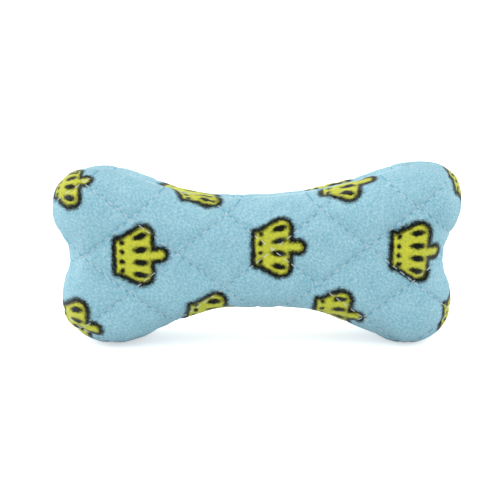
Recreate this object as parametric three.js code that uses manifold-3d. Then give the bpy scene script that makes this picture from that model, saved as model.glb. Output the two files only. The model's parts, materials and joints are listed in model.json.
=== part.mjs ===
// A plump bone-shaped dog toy: two quilted fleece panels sewn edge to edge, stuffed round a squeaker.
// It stands on its two lower lobes. X runs along the bone, Y from its front to its back, Z up.
// The origin is on the ground, under the middle of the toy.

import * as THREE from "three";
import { mergeVertices } from "three/addons/utils/BufferGeometryUtils.js";
import Module from "manifold-3d";

const wasm = await Module();
wasm.setup();

// Driving dimensions, in millimetres.

// The sewn outline, seen from the front.
const upperLength = 180; // over the two upper lobes
const lowerLength = 174; // over the two lower lobes, which the stuffing spreads less
const sewnHeight = 82; // over the lobes, before the toy's weight flattens the lower ones
const waistHeight = 48.8;
const lobeRadius = 20.5;
const cleftRadius = 16; // the hollow between two lobes of one end
const restFlat = 0.5; // how much of each lower lobe is pressed flat on the ground

// The stuffed section, seen from an end.
const shankThickness = 42;
const lobeThickness = 45;
const edgeWidth = 18; // from the seam to where a face levels out
const seamCrease = 1.2; // how far the seam is drawn in below the swell on its two sides

// The layers of a quilted panel, from the skin inwards.
const fleeceThickness = 1.6;
const waddingThickness = 2.6;
const backingThickness = 0.6;
const seamAllowance = 7; // the fleece's turned-in edge
const clearance = 0.3; // between pieces that touch

// The diamond quilting.
const diamondWidth = 40.7;
const diamondHeight = 32.7;
const quiltDepth = 1.7;
const quiltReach = 7; // from a sewn line to where the wadding stands at its full height
const frontQuiltX = 6; // a crossing of the front panel's sewn lines
const frontQuiltZ = 44.6;
const backQuiltX = -9; // and of the back panel's
const backQuiltZ = 35;

// The threads.
const quiltThreadRadius = 0.25;
const threadEndInset = 3.5; // where the sewn lines run under the seam
const seamThreadRadius = 0.25;
const seamThreadStep = 5; // between the points of its route
const slabStep = 16; // between the points of the turned-in edge
const closingLength = 44; // the gap in the machine seam, sewn by hand once the toy is stuffed
const closingPitch = 3.2;
const closingReach = 1.6; // how far each hand stitch reaches over a panel
const closingThreadRadius = 0.25;

// The squeaker: a flat blown bulb with a reed plug in the neck on its edge.
const bulbRadius = 15;
const bulbThickness = 17;
const bulbWall = 0.8;
const neckRadius = 4.6;
const neckWall = 0.9;
const neckLength = 6.5; // beyond the bulb's edge
const plugLength = 8.5;
const plugFlangeRadius = 4.6;
const plugFlangeThickness = 0.9;
const reedLength = 7.4;
const reedWidth = 3;
const reedThickness = 0.25;
const reedClampLength = 2.2;
const airGrooveWidth = 1.8;
const airGrooveDepth = 1.4;
const reedChamberWidth = 3.9;
const reedChamberHeight = 1.9;
const insertionSlit = 0.8; // left in the filling where the squeaker was pushed in
const overrun = 5; // of a cutter beyond what it cuts
const weldReach = 1e-4; // within which two points of a surface are one

// Counts and shares.
const roundness = 2.25; // exponent of the section: 2 is an ellipse, more is squarer
const skinRowShares = [0.3, 0.02]; // places of the skin's rows of points between its lattice and the seam
const innerRowShares = [0.12]; // and of the faces under it
const edgeStartShare = 0.18; // of the edge width, where the lattice ends and those rows take over
const snapShare = 0.45; // of a lattice cell, within which a point moves on to the lattice's end
const skinCells = 4; // lattice cells along a diamond's side, on the skin
const innerCells = 3; // and on the faces under it
const halvings = 30; // to find where a lattice side meets the outline
const slopeShare = 0.25; // of the quilt's reach, over which a thread takes the skin's slope
const crossingLift = 0.5; // of a thread's radius, by which one way of lines rides over the other
const bulbSegments = 24;
const bulbRows = 8;
const neckSegments = 18;

// What follows from them.
const midHeight = sewnHeight / 2 - restFlat;
const faceRise = shankThickness / 2;
const halfWidth = diamondWidth / 2;
const halfHeight = diamondHeight / 2;
const diamondSide = Math.hypot(halfWidth, halfHeight);
const lineSpacing = (2 * halfWidth * halfHeight) / diamondSide;

// Depths under the skin, each in the middle of the clearance between two layers.
const fleeceInside = fleeceThickness + clearance / 2;
const waddingInside = fleeceInside + waddingThickness + clearance;
const backingInside = waddingInside + backingThickness + clearance;

// How far the turned-in fleece and the clearance on it reach off the seam's plane, where half a clearance lies.
const turnedEdge = clearance / 2 + fleeceThickness + clearance;

// Colours from the toy: pale blue fleece, undyed filling and clear plastics.
const finishes = {
  fleece: { color: 0x97c3d0, roughness: 0.95, metalness: 0 },
  wadding: { color: 0xf1f1ec, roughness: 1, metalness: 0 },
  backing: { color: 0xe4e6e4, roughness: 0.9, metalness: 0 },
  filling: { color: 0xf7f7f3, roughness: 1, metalness: 0 },
  quiltThread: { color: 0xdcecf0, roughness: 0.35, metalness: 0 },
  seamThread: { color: 0x8fbccb, roughness: 0.7, metalness: 0 },
  bulb: { color: 0xe9ece8, roughness: 0.4, metalness: 0 },
  plug: { color: 0xd8dcda, roughness: 0.45, metalness: 0 },
  reed: { color: 0xc9d2d6, roughness: 0.3, metalness: 0 },
};

// Solids and meshes

// A closed three.js geometry as a solid that can be joined and cut.
function solid(geometry) {
  const bare = new THREE.BufferGeometry();
  const loose = geometry.index ? geometry.toNonIndexed() : geometry;
  bare.setAttribute("position", loose.getAttribute("position"));
  const merged = mergeVertices(bare, weldReach);
  return new wasm.Manifold(
    new wasm.Mesh({
      numProp: 3,
      vertProperties: merged.attributes.position.array,
      triVerts: new Uint32Array(merged.index.array),
    }),
  );
}

// Points (arrays of three numbers) and triangles of their indices as a solid.
function solidOfTriangles(points, triangles) {
  const geometry = new THREE.BufferGeometry();
  geometry.setAttribute("position", new THREE.Float32BufferAttribute(points.flat(), 3));
  geometry.setIndex(triangles.flat());
  return solid(geometry);
}

function named(name, made, finish) {
  const cut = made.getMesh();
  const geometry = new THREE.BufferGeometry();
  geometry.setAttribute("position", new THREE.BufferAttribute(cut.vertProperties, 3));
  geometry.setIndex(new THREE.BufferAttribute(cut.triVerts, 1));
  geometry.computeVertexNormals();
  const mesh = new THREE.Mesh(geometry, new THREE.MeshStandardMaterial(finish));
  mesh.name = name;
  return mesh;
}

// A box between two corners.
function block(low, high) {
  const size = new THREE.Vector3().subVectors(high, low);
  const middle = new THREE.Vector3().addVectors(low, high).multiplyScalar(0.5);
  const geometry = new THREE.BoxGeometry(size.x, size.y, size.z);
  return solid(geometry.translate(middle.x, middle.y, middle.z));
}

// A round bar along X, about the squeaker's axis.
function bar(radius, fromX, toX) {
  const geometry = new THREE.CylinderGeometry(radius, radius, toX - fromX, neckSegments);
  return solid(geometry.rotateZ(Math.PI / 2).translate((fromX + toX) / 2, 0, midHeight));
}

// The outline: four lobes of one radius, with a hollow arc bridging each pair of neighbours.

const lobes = [
  { x: upperLength / 2 - lobeRadius, z: sewnHeight - restFlat - lobeRadius },
  { x: lobeRadius - upperLength / 2, z: sewnHeight - restFlat - lobeRadius },
  { x: lobeRadius - lowerLength / 2, z: lobeRadius - restFlat },
  { x: lowerLength / 2 - lobeRadius, z: lobeRadius - restFlat },
];

// The centre of the arc of this radius that touches two lobes, on their outer side.
function bridge(from, to, radius) {
  const half = Math.hypot(to.x - from.x, to.z - from.z) / 2;
  const out = Math.sqrt((lobeRadius + radius) ** 2 - half ** 2);
  return {
    x: (from.x + to.x) / 2 + ((to.z - from.z) / (2 * half)) * out,
    z: (from.z + to.z) / 2 - ((to.x - from.x) / (2 * half)) * out,
    radius,
  };
}

// The radius of a waist arc, from how far its lowest point lies beyond the lobes' centres.
function waistRadius(halfSpread) {
  const past = waistHeight / 2 - (sewnHeight / 2 - lobeRadius);
  return (halfSpread ** 2 + past ** 2 - lobeRadius ** 2) / (2 * (lobeRadius - past));
}

// The waist lies between two lobes of one height, and a cleft between the two of one end.
const bridges = lobes.map((lobe, k) => {
  const next = lobes[(k + 1) % lobes.length];
  return bridge(lobe, next, lobe.z === next.z ? waistRadius(Math.abs(lobe.x)) : cleftRadius);
});
const underWaist = bridges.reduce((lowest, other) => (other.z < lowest.z ? other : lowest));

const bearing = (from, to) => Math.atan2(to.z - from.z, to.x - from.x);
const turn = (angle) => ((angle % (2 * Math.PI)) + 2 * Math.PI) % (2 * Math.PI);

// An arc: its centre, its radius, +1 where it bulges or -1 where it is hollow, where it starts and how far it turns.
function arc(centre, radius, bulge, from, to) {
  return { ...centre, radius, bulge, start: from, sweep: turn(to - from) };
}

const arcs = lobes.flatMap((lobe, k) => {
  const before = bridges.at(k - 1);
  const after = bridges[k];
  const next = lobes[(k + 1) % lobes.length];
  return [
    arc(lobe, lobeRadius, 1, bearing(lobe, before), bearing(lobe, after)),
    arc(after, after.radius, -1, bearing(after, next), bearing(after, lobe)),
  ];
});

// How far a point lies inside the outline, and the outward direction at its nearest edge.
function outlineAt(x, z) {
  let best = { inset: -Infinity, nearest: Infinity };
  for (const a of arcs) {
    const away = Math.hypot(x - a.x, z - a.z);
    if (turn(Math.atan2(z - a.z, x - a.x) - a.start) > a.sweep || !away) continue;
    const inset = a.bulge * (a.radius - away);
    if (Math.abs(inset) < best.nearest)
      best = {
        inset,
        nearest: Math.abs(inset),
        outX: (a.bulge * (x - a.x)) / away,
        outZ: (a.bulge * (z - a.z)) / away,
      };
  }
  return best;
}

// Points round the outline moved in by an inset, anticlockwise from the front. They are about a step apart on
// the outline itself, and at the same angles at every inset, so that nested contours stay parallel.
function contour(inset, step) {
  return arcs.flatMap((a) => {
    const radius = a.radius - a.bulge * inset;
    const count = Math.ceil((a.radius * a.sweep) / step);
    return Array.from({ length: count }, (_, k) => {
      const share = (k + 0.5) / count;
      const angle = a.start + a.sweep * (a.bulge > 0 ? share : 1 - share);
      return {
        x: a.x + radius * Math.cos(angle),
        z: a.z + radius * Math.sin(angle),
        outX: a.bulge * Math.cos(angle),
        outZ: a.bulge * Math.sin(angle),
      };
    });
  });
}

// The stuffed surface

const smooth = (share) => share * share * (3 - 2 * share);

// Half the toy's thickness where a face is level: the lobes swell more than the shank.
function levelRise(x) {
  const along = Math.min(1, Math.abs(x) / lobes[0].x);
  return faceRise + smooth(along) * (lobeThickness / 2 - faceRise);
}

// How deep the quilting draws the panel in: most on a sewn line, nothing past the quilt's reach.
function quiltDraw(x, z, quilt) {
  const rising = ((x - quilt.x) / halfWidth + (z - quilt.z) / halfHeight) / 2;
  const falling = ((x - quilt.x) / halfWidth - (z - quilt.z) / halfHeight) / 2;
  const off = (share) => Math.abs(share - Math.round(share)) * lineSpacing;
  const near = Math.min(off(rising), off(falling));
  return quiltDepth * Math.max(0, 1 - near / quiltReach) ** 2;
}

// How far the surface that lies a depth under the skin stands off the seam's plane.
function riseAt(x, z, depth, quilt) {
  const inset = Math.max(outlineAt(x, z).inset, depth);
  const left = Math.max(0, edgeWidth - inset) / (edgeWidth - depth);
  const round = (1 - left ** roundness) ** (1 / roundness);
  const draw = quilt ? quiltDraw(x, z, quilt) : 0;
  return round * (levelRise(x) - depth - draw);
}

// The place of a lattice point. Where a or b is a whole number of cells, it lies on a sewn line.
function latticePoint(a, b, cells, quilt) {
  return {
    x: quilt.x + ((a + b) * halfWidth) / cells,
    z: quilt.z + ((a - b) * halfHeight) / cells,
  };
}

// How many sewn lines each way reach past the outline.
const lineSpan = Math.ceil(upperLength / halfWidth + sewnHeight / halfHeight);

// Triangles over the outline, in from its edge by a clip inset. Their sides lie along the quilting's lines.
function lattice(clip, cells, quilt) {
  const points = [];
  const triangles = [];
  const corners = new Map();
  const crossings = new Map();
  const snap = (snapShare * diamondSide) / cells;

  function corner(a, b) {
    const key = a + "," + b;
    if (!corners.has(key)) {
      let { x, z } = latticePoint(a, b, cells, quilt);
      const edge = outlineAt(x, z);
      let over = edge.inset - clip;
      if (Math.abs(over) < snap) {
        x += edge.outX * over;
        z += edge.outZ * over;
        over = 0;
      }
      const index = over < 0 ? -1 : points.push({ x, z }) - 1;
      corners.set(key, { key, x, z, over, index });
    }
    return corners.get(key);
  }

  // Where the side between two corners meets the clip, found by halving.
  function crossing(from, to) {
    const key = [from.key, to.key].sort().join(" ");
    if (!crossings.has(key)) {
      let [inside, outside] = from.over > 0 ? [from, to] : [to, from];
      for (let k = 0; k < halvings; k++) {
        const mid = { x: (inside.x + outside.x) / 2, z: (inside.z + outside.z) / 2 };
        if (outlineAt(mid.x, mid.z).inset > clip) inside = mid;
        else outside = mid;
      }
      crossings.set(key, points.push({ x: inside.x, z: inside.z }) - 1);
    }
    return crossings.get(key);
  }

  function addClipped(three) {
    if (!three.some((c) => c.over > 0)) return;
    const kept = [];
    three.forEach((c, k) => {
      const next = three[(k + 1) % 3];
      if (c.over >= 0) kept.push(c.index);
      if (c.over * next.over < 0) kept.push(crossing(c, next));
    });
    for (let k = 2; k < kept.length; k++) triangles.push([kept[0], kept[k - 1], kept[k]]);
  }

  const span = lineSpan * cells;
  for (let a = -span; a < span; a++)
    for (let b = -span; b < span; b++) {
      addClipped([corner(a, b), corner(a, b + 1), corner(a + 1, b)]);
      addClipped([corner(a + 1, b), corner(a, b + 1), corner(a + 1, b + 1)]);
    }
  return { points, triangles, rim: rimOf(triangles) };
}

// The open edge of a set of triangles, as one loop of indices.
function rimOf(triangles) {
  const follow = new Map();
  const sides = triangles.flatMap(([a, b, c]) => [[a, b], [b, c], [c, a]]);
  const known = new Set(sides.map(([from, to]) => from + " " + to));
  for (const [from, to] of sides) if (!known.has(to + " " + from)) follow.set(from, to);
  const rim = [follow.keys().next().value];
  while (rim.length < follow.size) rim.push(follow.get(rim[rim.length - 1]));
  return rim;
}

// Half of the stuffed form, from the seam's plane to the surface a depth under the skin.
// side is -1 for the front and +1 for the back. Two faces that meet share a clip depth, so that their facets match.
function pillow(side, quilt, depth, grooved, clipDepth = depth) {
  const clip = clipDepth + edgeStartShare * edgeWidth;
  const { points, triangles, rim } = lattice(clip, depth ? innerCells : skinCells, quilt);
  const rise = (x, z) => riseAt(x, z, depth, grooved ? quilt : null);
  const made = points.map(({ x, z }) => [x, side * rise(x, z), z]);
  const faces = [...triangles];
  let last = rim;

  function addRow(inset, height) {
    const row = rim.map((index) => {
      const { x, z } = points[index];
      const { outX, outZ } = outlineAt(x, z);
      const out = clip - inset;
      const at = [x + outX * out, z + outZ * out];
      return made.push([at[0], side * height(...at), at[1]]) - 1;
    });
    row.forEach((_, k) => {
      const next = (k + 1) % row.length;
      faces.push([last[next], last[k], row[k]], [last[next], row[k], row[next]]);
    });
    last = row;
  }

  for (const share of depth ? innerRowShares : skinRowShares) addRow(depth + share * (clip - depth), rise);
  addRow(depth + seamCrease, () => 0);

  const flat = last.map((index) => new THREE.Vector2(made[index][0], made[index][2]));
  for (const [a, b, c] of THREE.ShapeUtils.triangulateShape(flat, [])) {
    const turned = flat[b].clone().sub(flat[a]).cross(flat[c].clone().sub(flat[a])) > 0;
    faces.push(turned ? [last[a], last[c], last[b]] : [last[a], last[b], last[c]]);
  }
  return solidOfTriangles(made, side < 0 ? faces : faces.map(([a, b, c]) => [a, c, b]));
}

// Everything on the far side of a plane that lies a gap off the seam's, for cutting.
function beyondSeam(side, gap) {
  const far = upperLength + overrun;
  const [near, past] = side < 0 ? [-gap, far] : [-far, gap];
  return block(new THREE.Vector3(-far, near, -far), new THREE.Vector3(far, past, far));
}

// A slab of the outline's shape, moved in by an inset, between two places along Y.
function outlineSlab(inset, low, high) {
  const shape = new THREE.Shape(contour(inset, slabStep).map(({ x, z }) => new THREE.Vector2(x, z)));
  const geometry = new THREE.ExtrudeGeometry(shape, { depth: high - low, bevelEnabled: false });
  return solid(geometry.rotateX(Math.PI / 2).translate(0, high, 0));
}

// A flat ring along the outline, between two insets and two places along Y.
function outlineRing(outer, inner, low, high) {
  const hole = outlineSlab(inner, low - overrun, high + overrun);
  return outlineSlab(outer, low, high).subtract(hole);
}

// The ground, as a cutter: what would sink into it is pressed flat.
const ground = block(
  new THREE.Vector3(-upperLength, -upperLength, -sewnHeight),
  new THREE.Vector3(upperLength, upperLength, 0),
);

// The panels

// The fleece of one panel: a thin quilted shell with its edge turned in at the seam.
function fleece(side, quilt) {
  const seamGap = clearance / 2;
  const skin = pillow(side, quilt, 0, true);
  const inside = pillow(side, quilt, fleeceThickness, true, fleeceInside);
  const [low, high] = [side * seamGap, side * (seamGap + fleeceThickness)].sort((a, b) => a - b);
  const edge = outlineRing(fleeceThickness, seamAllowance, low, high);
  return skin.subtract(inside).subtract(beyondSeam(side, seamGap)).add(edge).subtract(ground);
}

// A layer between two depths that stops short of the turned-in fleece.
function layer(side, quilt, from, to, grooved) {
  const outer = pillow(side, quilt, from + clearance / 2, grooved, from);
  const inner = pillow(side, quilt, to - clearance / 2, false, to);
  return outer.subtract(inner).subtract(beyondSeam(side, turnedEdge));
}

// The sewing

// A thread of square section along a route of places, each with the direction that one corner points in.
function thread(route, radius) {
  const made = [];
  const faces = [];
  let last = [];
  route.forEach(({ at, up }, k) => {
    const ahead = route[Math.min(k + 1, route.length - 1)].at;
    const behind = route[Math.max(k - 1, 0)].at;
    const along = ahead.clone().sub(behind).normalize();
    const across = along.clone().cross(up).normalize();
    const square = across.clone().cross(along);
    const ring = [square, across, square.clone().negate(), across.clone().negate()].map(
      (reach) => made.push(at.clone().addScaledVector(reach, radius).toArray()) - 1,
    );
    const [a, b, c, d] = ring;
    if (!k) faces.push([a, d, c], [a, c, b]);
    if (k === route.length - 1) faces.push([a, b, c], [a, c, d]);
    ring.forEach((corner, j) => {
      const next = ring[(j + 1) % ring.length];
      if (k) faces.push([last[j], last[(j + 1) % ring.length], next], [last[j], next, corner]);
    });
    last = ring;
  });
  return solidOfTriangles(made, faces);
}

// A place just clear of a panel's skin, and the direction square to the skin there.
function overSkin(side, quilt, x, z, gap) {
  const step = slopeShare * quiltReach;
  const rise = (dx, dz) => riseAt(x + dx, z + dz, 0, quilt);
  const slopeX = (rise(step / 2, 0) - rise(-step / 2, 0)) / step;
  const slopeZ = (rise(0, step / 2) - rise(0, -step / 2)) / step;
  const up = new THREE.Vector3(-slopeX, side, -slopeZ).normalize();
  return { at: new THREE.Vector3(x, side * rise(0, 0), z).addScaledVector(up, gap), up };
}

// The quilting thread of one panel: its lines cross and hold each other, so they are one net.
function quiltingNet(side, quilt) {
  const lines = [];
  const span = lineSpan * skinCells;
  for (let k = -lineSpan; k <= lineSpan; k++)
    for (const falls of [false, true]) {
      const gap = clearance + quiltThreadRadius * (falls ? 1 + crossingLift : 1);
      let run = [];
      for (let s = -span; s <= span; s++) {
        const [a, b] = falls ? [k * skinCells, s] : [s, k * skinCells];
        const { x, z } = latticePoint(a, b, skinCells, quilt);
        if (outlineAt(x, z).inset > threadEndInset) {
          run.push({ ...overSkin(side, quilt, x, z, gap), crosses: s % skinCells === 0 });
          continue;
        }
        if (run.length > 1 && run.some((point) => point.crosses)) lines.push(run);
        run = [];
      }
    }
  return lines.map((line) => thread(line, quiltThreadRadius)).reduce((net, line) => net.add(line));
}

// A place on the under waist, at this distance outside the toy, and the outward direction there.
function onUnderWaist(x, outside) {
  const reach = underWaist.radius - outside;
  const out = new THREE.Vector3(underWaist.x - x, 0, -Math.sqrt(reach ** 2 - x ** 2)).normalize();
  const at = new THREE.Vector3(underWaist.x, 0, underWaist.z).addScaledVector(out, -reach);
  return { at, out };
}

// The machine seam's thread lies in the crease all round, but for the gap that is closed by hand.
function seamThread() {
  const inset = seamCrease - clearance - seamThreadRadius;
  const route = contour(inset, seamThreadStep);
  const inGap = ({ x, z }) => z < midHeight && Math.abs(x) < closingLength / 2;
  const start = route.findIndex((point, k) => k && !inGap(point) && inGap(route[k - 1]));
  const between = [...route.slice(start), ...route.slice(0, start)].filter((point) => !inGap(point));
  const [first, last] = [closingLength / 2, -closingLength / 2].map((x) => {
    const { at, out } = onUnderWaist(x, -inset);
    return { x: at.x, z: at.z, outX: out.x, outZ: out.z };
  });
  return thread(
    [first, ...between, last].map(({ x, z, outX, outZ }) => ({
      at: new THREE.Vector3(x, 0, z),
      up: new THREE.Vector3(outX, 0, outZ),
    })),
    seamThreadRadius,
  );
}

// The hand stitches cross the closed gap from one panel to the other and back.
function closingThread() {
  const count = Math.floor((closingLength - 2 * clearance) / (closingPitch / 2));
  const route = Array.from({ length: count + 1 }, (_, k) => {
    const { at, out } = onUnderWaist((k - count / 2) * (closingPitch / 2), clearance - closingThreadRadius / 2);
    return { at: at.setY(k % 2 ? closingReach : -closingReach), up: out };
  });
  return thread(route, closingThreadRadius);
}

// The squeaker

const neckEnd = bulbRadius + neckLength;
const plugRadius = neckRadius - neckWall - clearance;
const plugStart = neckEnd - plugLength;
const flangeStart = neckEnd + clearance;
const flangeEnd = flangeStart + plugFlangeThickness;
const clampLine = flangeEnd - clearance - reedClampLength; // where the reed comes free of its clamp
const reedTip = flangeEnd - clearance - reedLength;

// The bulb's flattened round form, turned about the Y axis, grown or shrunk by a gap.
function bulbForm(gap) {
  const profile = Array.from({ length: bulbRows + 1 }, (_, k) => {
    const angle = Math.PI * (k / bulbRows - 1 / 2);
    const reach = k % bulbRows ? (bulbRadius + gap) * Math.cos(angle) : 0;
    return new THREE.Vector2(reach, (bulbThickness / 2 + gap) * Math.sin(angle));
  });
  return solid(new THREE.LatheGeometry(profile, bulbSegments).translate(0, 0, midHeight));
}

function bulb() {
  const bore = bar(neckRadius - neckWall, 0, neckEnd + overrun);
  const neck = bar(neckRadius, bulbRadius / 2, neckEnd);
  return bulbForm(0).add(neck).subtract(bulbForm(-bulbWall)).subtract(bore);
}

// A block on the reed's axis: between two places along X, of a width, between two heights off the reed's plane.
function onReed(fromX, toX, width, low, high) {
  return block(
    new THREE.Vector3(fromX, -width / 2, midHeight + low),
    new THREE.Vector3(toX, width / 2, midHeight + high),
  );
}

const plug = bar(plugRadius, plugStart, flangeEnd).add(bar(plugFlangeRadius, flangeStart, flangeEnd));
const plugWidth = 2 * (plugFlangeRadius + overrun);
const plugHalf = (low, high) => plug.intersect(onReed(plugStart - overrun, flangeEnd + overrun, plugWidth, low, high));
const reedRoom = reedThickness / 2 + clearance;
const slotWidth = reedWidth + 2 * clearance;

// The half of the plug that the reed beats on, with the air groove under its tongue.
function reedSeat() {
  const slot = onReed(reedTip - clearance, flangeEnd + overrun, slotWidth, -reedRoom, 0);
  const lip = reedTip + clearance;
  const groove = onReed(lip, flangeEnd + overrun, airGrooveWidth, -airGrooveDepth, 0);
  return plugHalf(-neckRadius, -clearance / 2).subtract(slot).subtract(groove);
}

// The half that holds the reed's root, with a chamber over its tongue that opens into the bulb.
function reedClamp() {
  const slot = onReed(reedTip, flangeEnd + overrun, slotWidth, 0, reedRoom);
  const chamber = onReed(plugStart - overrun, clampLine, reedChamberWidth, 0, reedChamberHeight);
  return plugHalf(clearance / 2, neckRadius).subtract(slot).subtract(chamber);
}

// The reed: a strip with a round tip, held at its root.
function reed() {
  const half = reedWidth / 2;
  const shape = new THREE.Shape();
  shape.moveTo(flangeEnd - clearance, -half);
  shape.lineTo(flangeEnd - clearance, half);
  shape.lineTo(reedTip + half, half);
  shape.absarc(reedTip + half, 0, half, Math.PI / 2, (3 * Math.PI) / 2);
  const geometry = new THREE.ExtrudeGeometry(shape, {
    depth: reedThickness,
    bevelEnabled: false,
    curveSegments: neckSegments / 2,
  });
  return solid(geometry.translate(0, 0, midHeight - reedThickness / 2));
}

// The filling: all that is left inside the panels, with a pocket that fits the squeaker.
function filling(panels) {
  const depth = backingInside + clearance / 2;
  const halves = panels.map(({ side, quilt }) => pillow(side, quilt, depth, false, backingInside));
  const edge = outlineRing(0, seamAllowance + clearance, -turnedEdge, turnedEdge);
  const neck = bar(neckRadius + clearance, 0, flangeEnd + clearance);
  const slit = block(
    new THREE.Vector3(-bulbRadius, -insertionSlit / 2, -sewnHeight),
    new THREE.Vector3(bulbRadius, insertionSlit / 2, midHeight),
  );
  const body = halves[0].add(halves[1]).subtract(edge);
  return body.subtract(bulbForm(clearance)).subtract(neck).subtract(slit);
}

// The assembly

const front = { side: -1, quilt: { x: frontQuiltX, z: frontQuiltZ } };
const back = { side: 1, quilt: { x: backQuiltX, z: backQuiltZ } };

const toy = new THREE.Group();
toy.name = "bone_toy";

for (const [word, { side, quilt }] of Object.entries({ front, back })) {
  const wadding = layer(side, quilt, fleeceInside, waddingInside, true);
  const backing = layer(side, quilt, waddingInside, backingInside, false);
  toy.add(
    named(word + "_fleece", fleece(side, quilt), finishes.fleece),
    named(word + "_wadding", wadding, finishes.wadding),
    named(word + "_backing_cloth", backing, finishes.backing),
    named(word + "_quilting_thread", quiltingNet(side, quilt), finishes.quiltThread),
  );
}

toy.add(
  named("seam_thread", seamThread(), finishes.seamThread),
  named("closing_thread", closingThread(), finishes.seamThread),
  named("fibre_filling", filling([front, back]), finishes.filling),
  named("squeaker_bulb", bulb(), finishes.bulb),
  named("squeaker_reed_seat", reedSeat(), finishes.plug),
  named("squeaker_reed_clamp", reedClamp(), finishes.plug),
  named("squeaker_reed", reed(), finishes.reed),
);

export default toy;
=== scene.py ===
"""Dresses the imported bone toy: its quilted fleece, its sewing, and the layers and squeaker inside.

The soft pieces are first built on an even form, as the CAD source makes it, and then moved to
where uneven stuffing leaves them. Lengths are in metres, but for the print's, which are in
millimetres on the flat cloth.
"""

import json
import logging
import math
from collections.abc import Iterable, Sequence
from dataclasses import dataclass, field
from enum import Enum
from functools import cached_property
from typing import Any

import bmesh
import bpy
import numpy as np
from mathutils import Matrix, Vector, noise
from mathutils.bvhtree import BVHTree
from mathutils.geometry import delaunay_2d_cdt

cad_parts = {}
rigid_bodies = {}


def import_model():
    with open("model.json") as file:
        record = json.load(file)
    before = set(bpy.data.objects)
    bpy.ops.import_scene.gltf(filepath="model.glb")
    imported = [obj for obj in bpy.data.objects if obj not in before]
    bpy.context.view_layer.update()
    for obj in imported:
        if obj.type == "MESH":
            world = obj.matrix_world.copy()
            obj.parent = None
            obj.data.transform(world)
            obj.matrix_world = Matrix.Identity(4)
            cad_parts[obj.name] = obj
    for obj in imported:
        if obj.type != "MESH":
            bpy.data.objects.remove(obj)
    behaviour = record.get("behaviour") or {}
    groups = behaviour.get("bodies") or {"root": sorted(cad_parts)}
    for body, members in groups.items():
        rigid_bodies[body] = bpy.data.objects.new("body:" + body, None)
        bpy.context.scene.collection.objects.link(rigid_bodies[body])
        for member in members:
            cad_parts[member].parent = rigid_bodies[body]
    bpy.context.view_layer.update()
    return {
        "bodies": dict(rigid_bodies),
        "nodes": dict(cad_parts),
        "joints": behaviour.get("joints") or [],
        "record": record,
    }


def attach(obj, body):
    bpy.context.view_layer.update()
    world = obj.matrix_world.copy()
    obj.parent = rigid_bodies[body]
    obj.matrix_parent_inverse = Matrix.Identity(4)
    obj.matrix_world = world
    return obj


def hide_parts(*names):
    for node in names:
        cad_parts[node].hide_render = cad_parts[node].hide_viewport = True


Array = np.ndarray
Colour = tuple[float, float, float, float]
MM = 0.001
CLOTH_UV = "cloth"
EVEN_PLACE = "even_place"

log = logging.getLogger("bone_toy")


def srgb(red: int, green: int, blue: int) -> Colour:
    """Turns a screen's colour into the linear one that shaders take.

    Args:
        red: Its red, in steps from 0 to 255.
        green: Its green.
        blue: Its blue.

    Returns:
        The colour, opaque.
    """
    share = [value / 255 for value in (red, green, blue)]
    linear = [s / 12.92 if s <= 0.04045 else ((s + 0.055) / 1.055) ** 2.4 for s in share]
    return (linear[0], linear[1], linear[2], 1.0)


# Node graphs


class Wire:
    """An output socket, with the arithmetic that a shader's maths needs."""

    def __init__(self, graph: "Graph", socket: bpy.types.NodeSocket) -> None:
        """Keeps the graph that further nodes go in and the socket itself."""
        self.graph = graph
        self.socket = socket

    def _math(self, operation: str, *values: "Wire | float") -> "Wire":
        """Adds one Math node over these values."""
        made = self.graph.add("ShaderNodeMath", {"operation": operation}, dict(enumerate(values)))
        return self.graph.out(made, 0)

    def __add__(self, other: "Wire | float") -> "Wire":
        """self + other."""
        return self._math("ADD", self, other)

    def __sub__(self, other: "Wire | float") -> "Wire":
        """self - other."""
        return self._math("SUBTRACT", self, other)

    def __mul__(self, other: "Wire | float") -> "Wire":
        """self * other."""
        return self._math("MULTIPLY", self, other)

    def __truediv__(self, other: "Wire | float") -> "Wire":
        """self / other."""
        return self._math("DIVIDE", self, other)

    def __rsub__(self, other: float) -> "Wire":
        """other - self."""
        return self._math("SUBTRACT", other, self)

    def __rtruediv__(self, other: float) -> "Wire":
        """other / self."""
        return self._math("DIVIDE", other, self)

    __radd__ = __add__
    __rmul__ = __mul__

    def __abs__(self) -> "Wire":
        """The value without its sign."""
        return self._math("ABSOLUTE", self)

    def __pow__(self, other: float) -> "Wire":
        """self to the power of other."""
        return self._math("POWER", self, other)

    def least(self, other: "Wire | float") -> "Wire":
        """The smaller of two values."""
        return self._math("MINIMUM", self, other)

    def most(self, other: "Wire | float") -> "Wire":
        """The larger of two values."""
        return self._math("MAXIMUM", self, other)

    def above(self, other: "Wire | float") -> "Wire":
        """1 where self is over other, and 0 elsewhere."""
        return self._math("GREATER_THAN", self, other)

    def wrapped(self, half: float) -> "Wire":
        """The value wrapped into the range from -half to half."""
        return self._math("WRAP", self, half, -half)

    def off_whole(self) -> "Wire":
        """How far the value lies from the nearest whole number."""
        return abs(self - self._math("ROUND", self))

    def step(self, low: float, high: float) -> "Wire":
        """A smooth step over the value.

        Args:
            low: Where it is 0, which may lie over or under high.
            high: Where it is 1.

        Returns:
            The step.
        """
        made = self.graph.add(
            "ShaderNodeMapRange",
            {"interpolation_type": "SMOOTHSTEP"},
            {"Value": self, "From Min": low, "From Max": high},
        )
        return self.graph.out(made, "Result")


def distance(across: Wire, along: Wire) -> Wire:
    """How far a point lies from the origin, from its two coordinates."""
    return (across * across + along * along) ** 0.5


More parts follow.
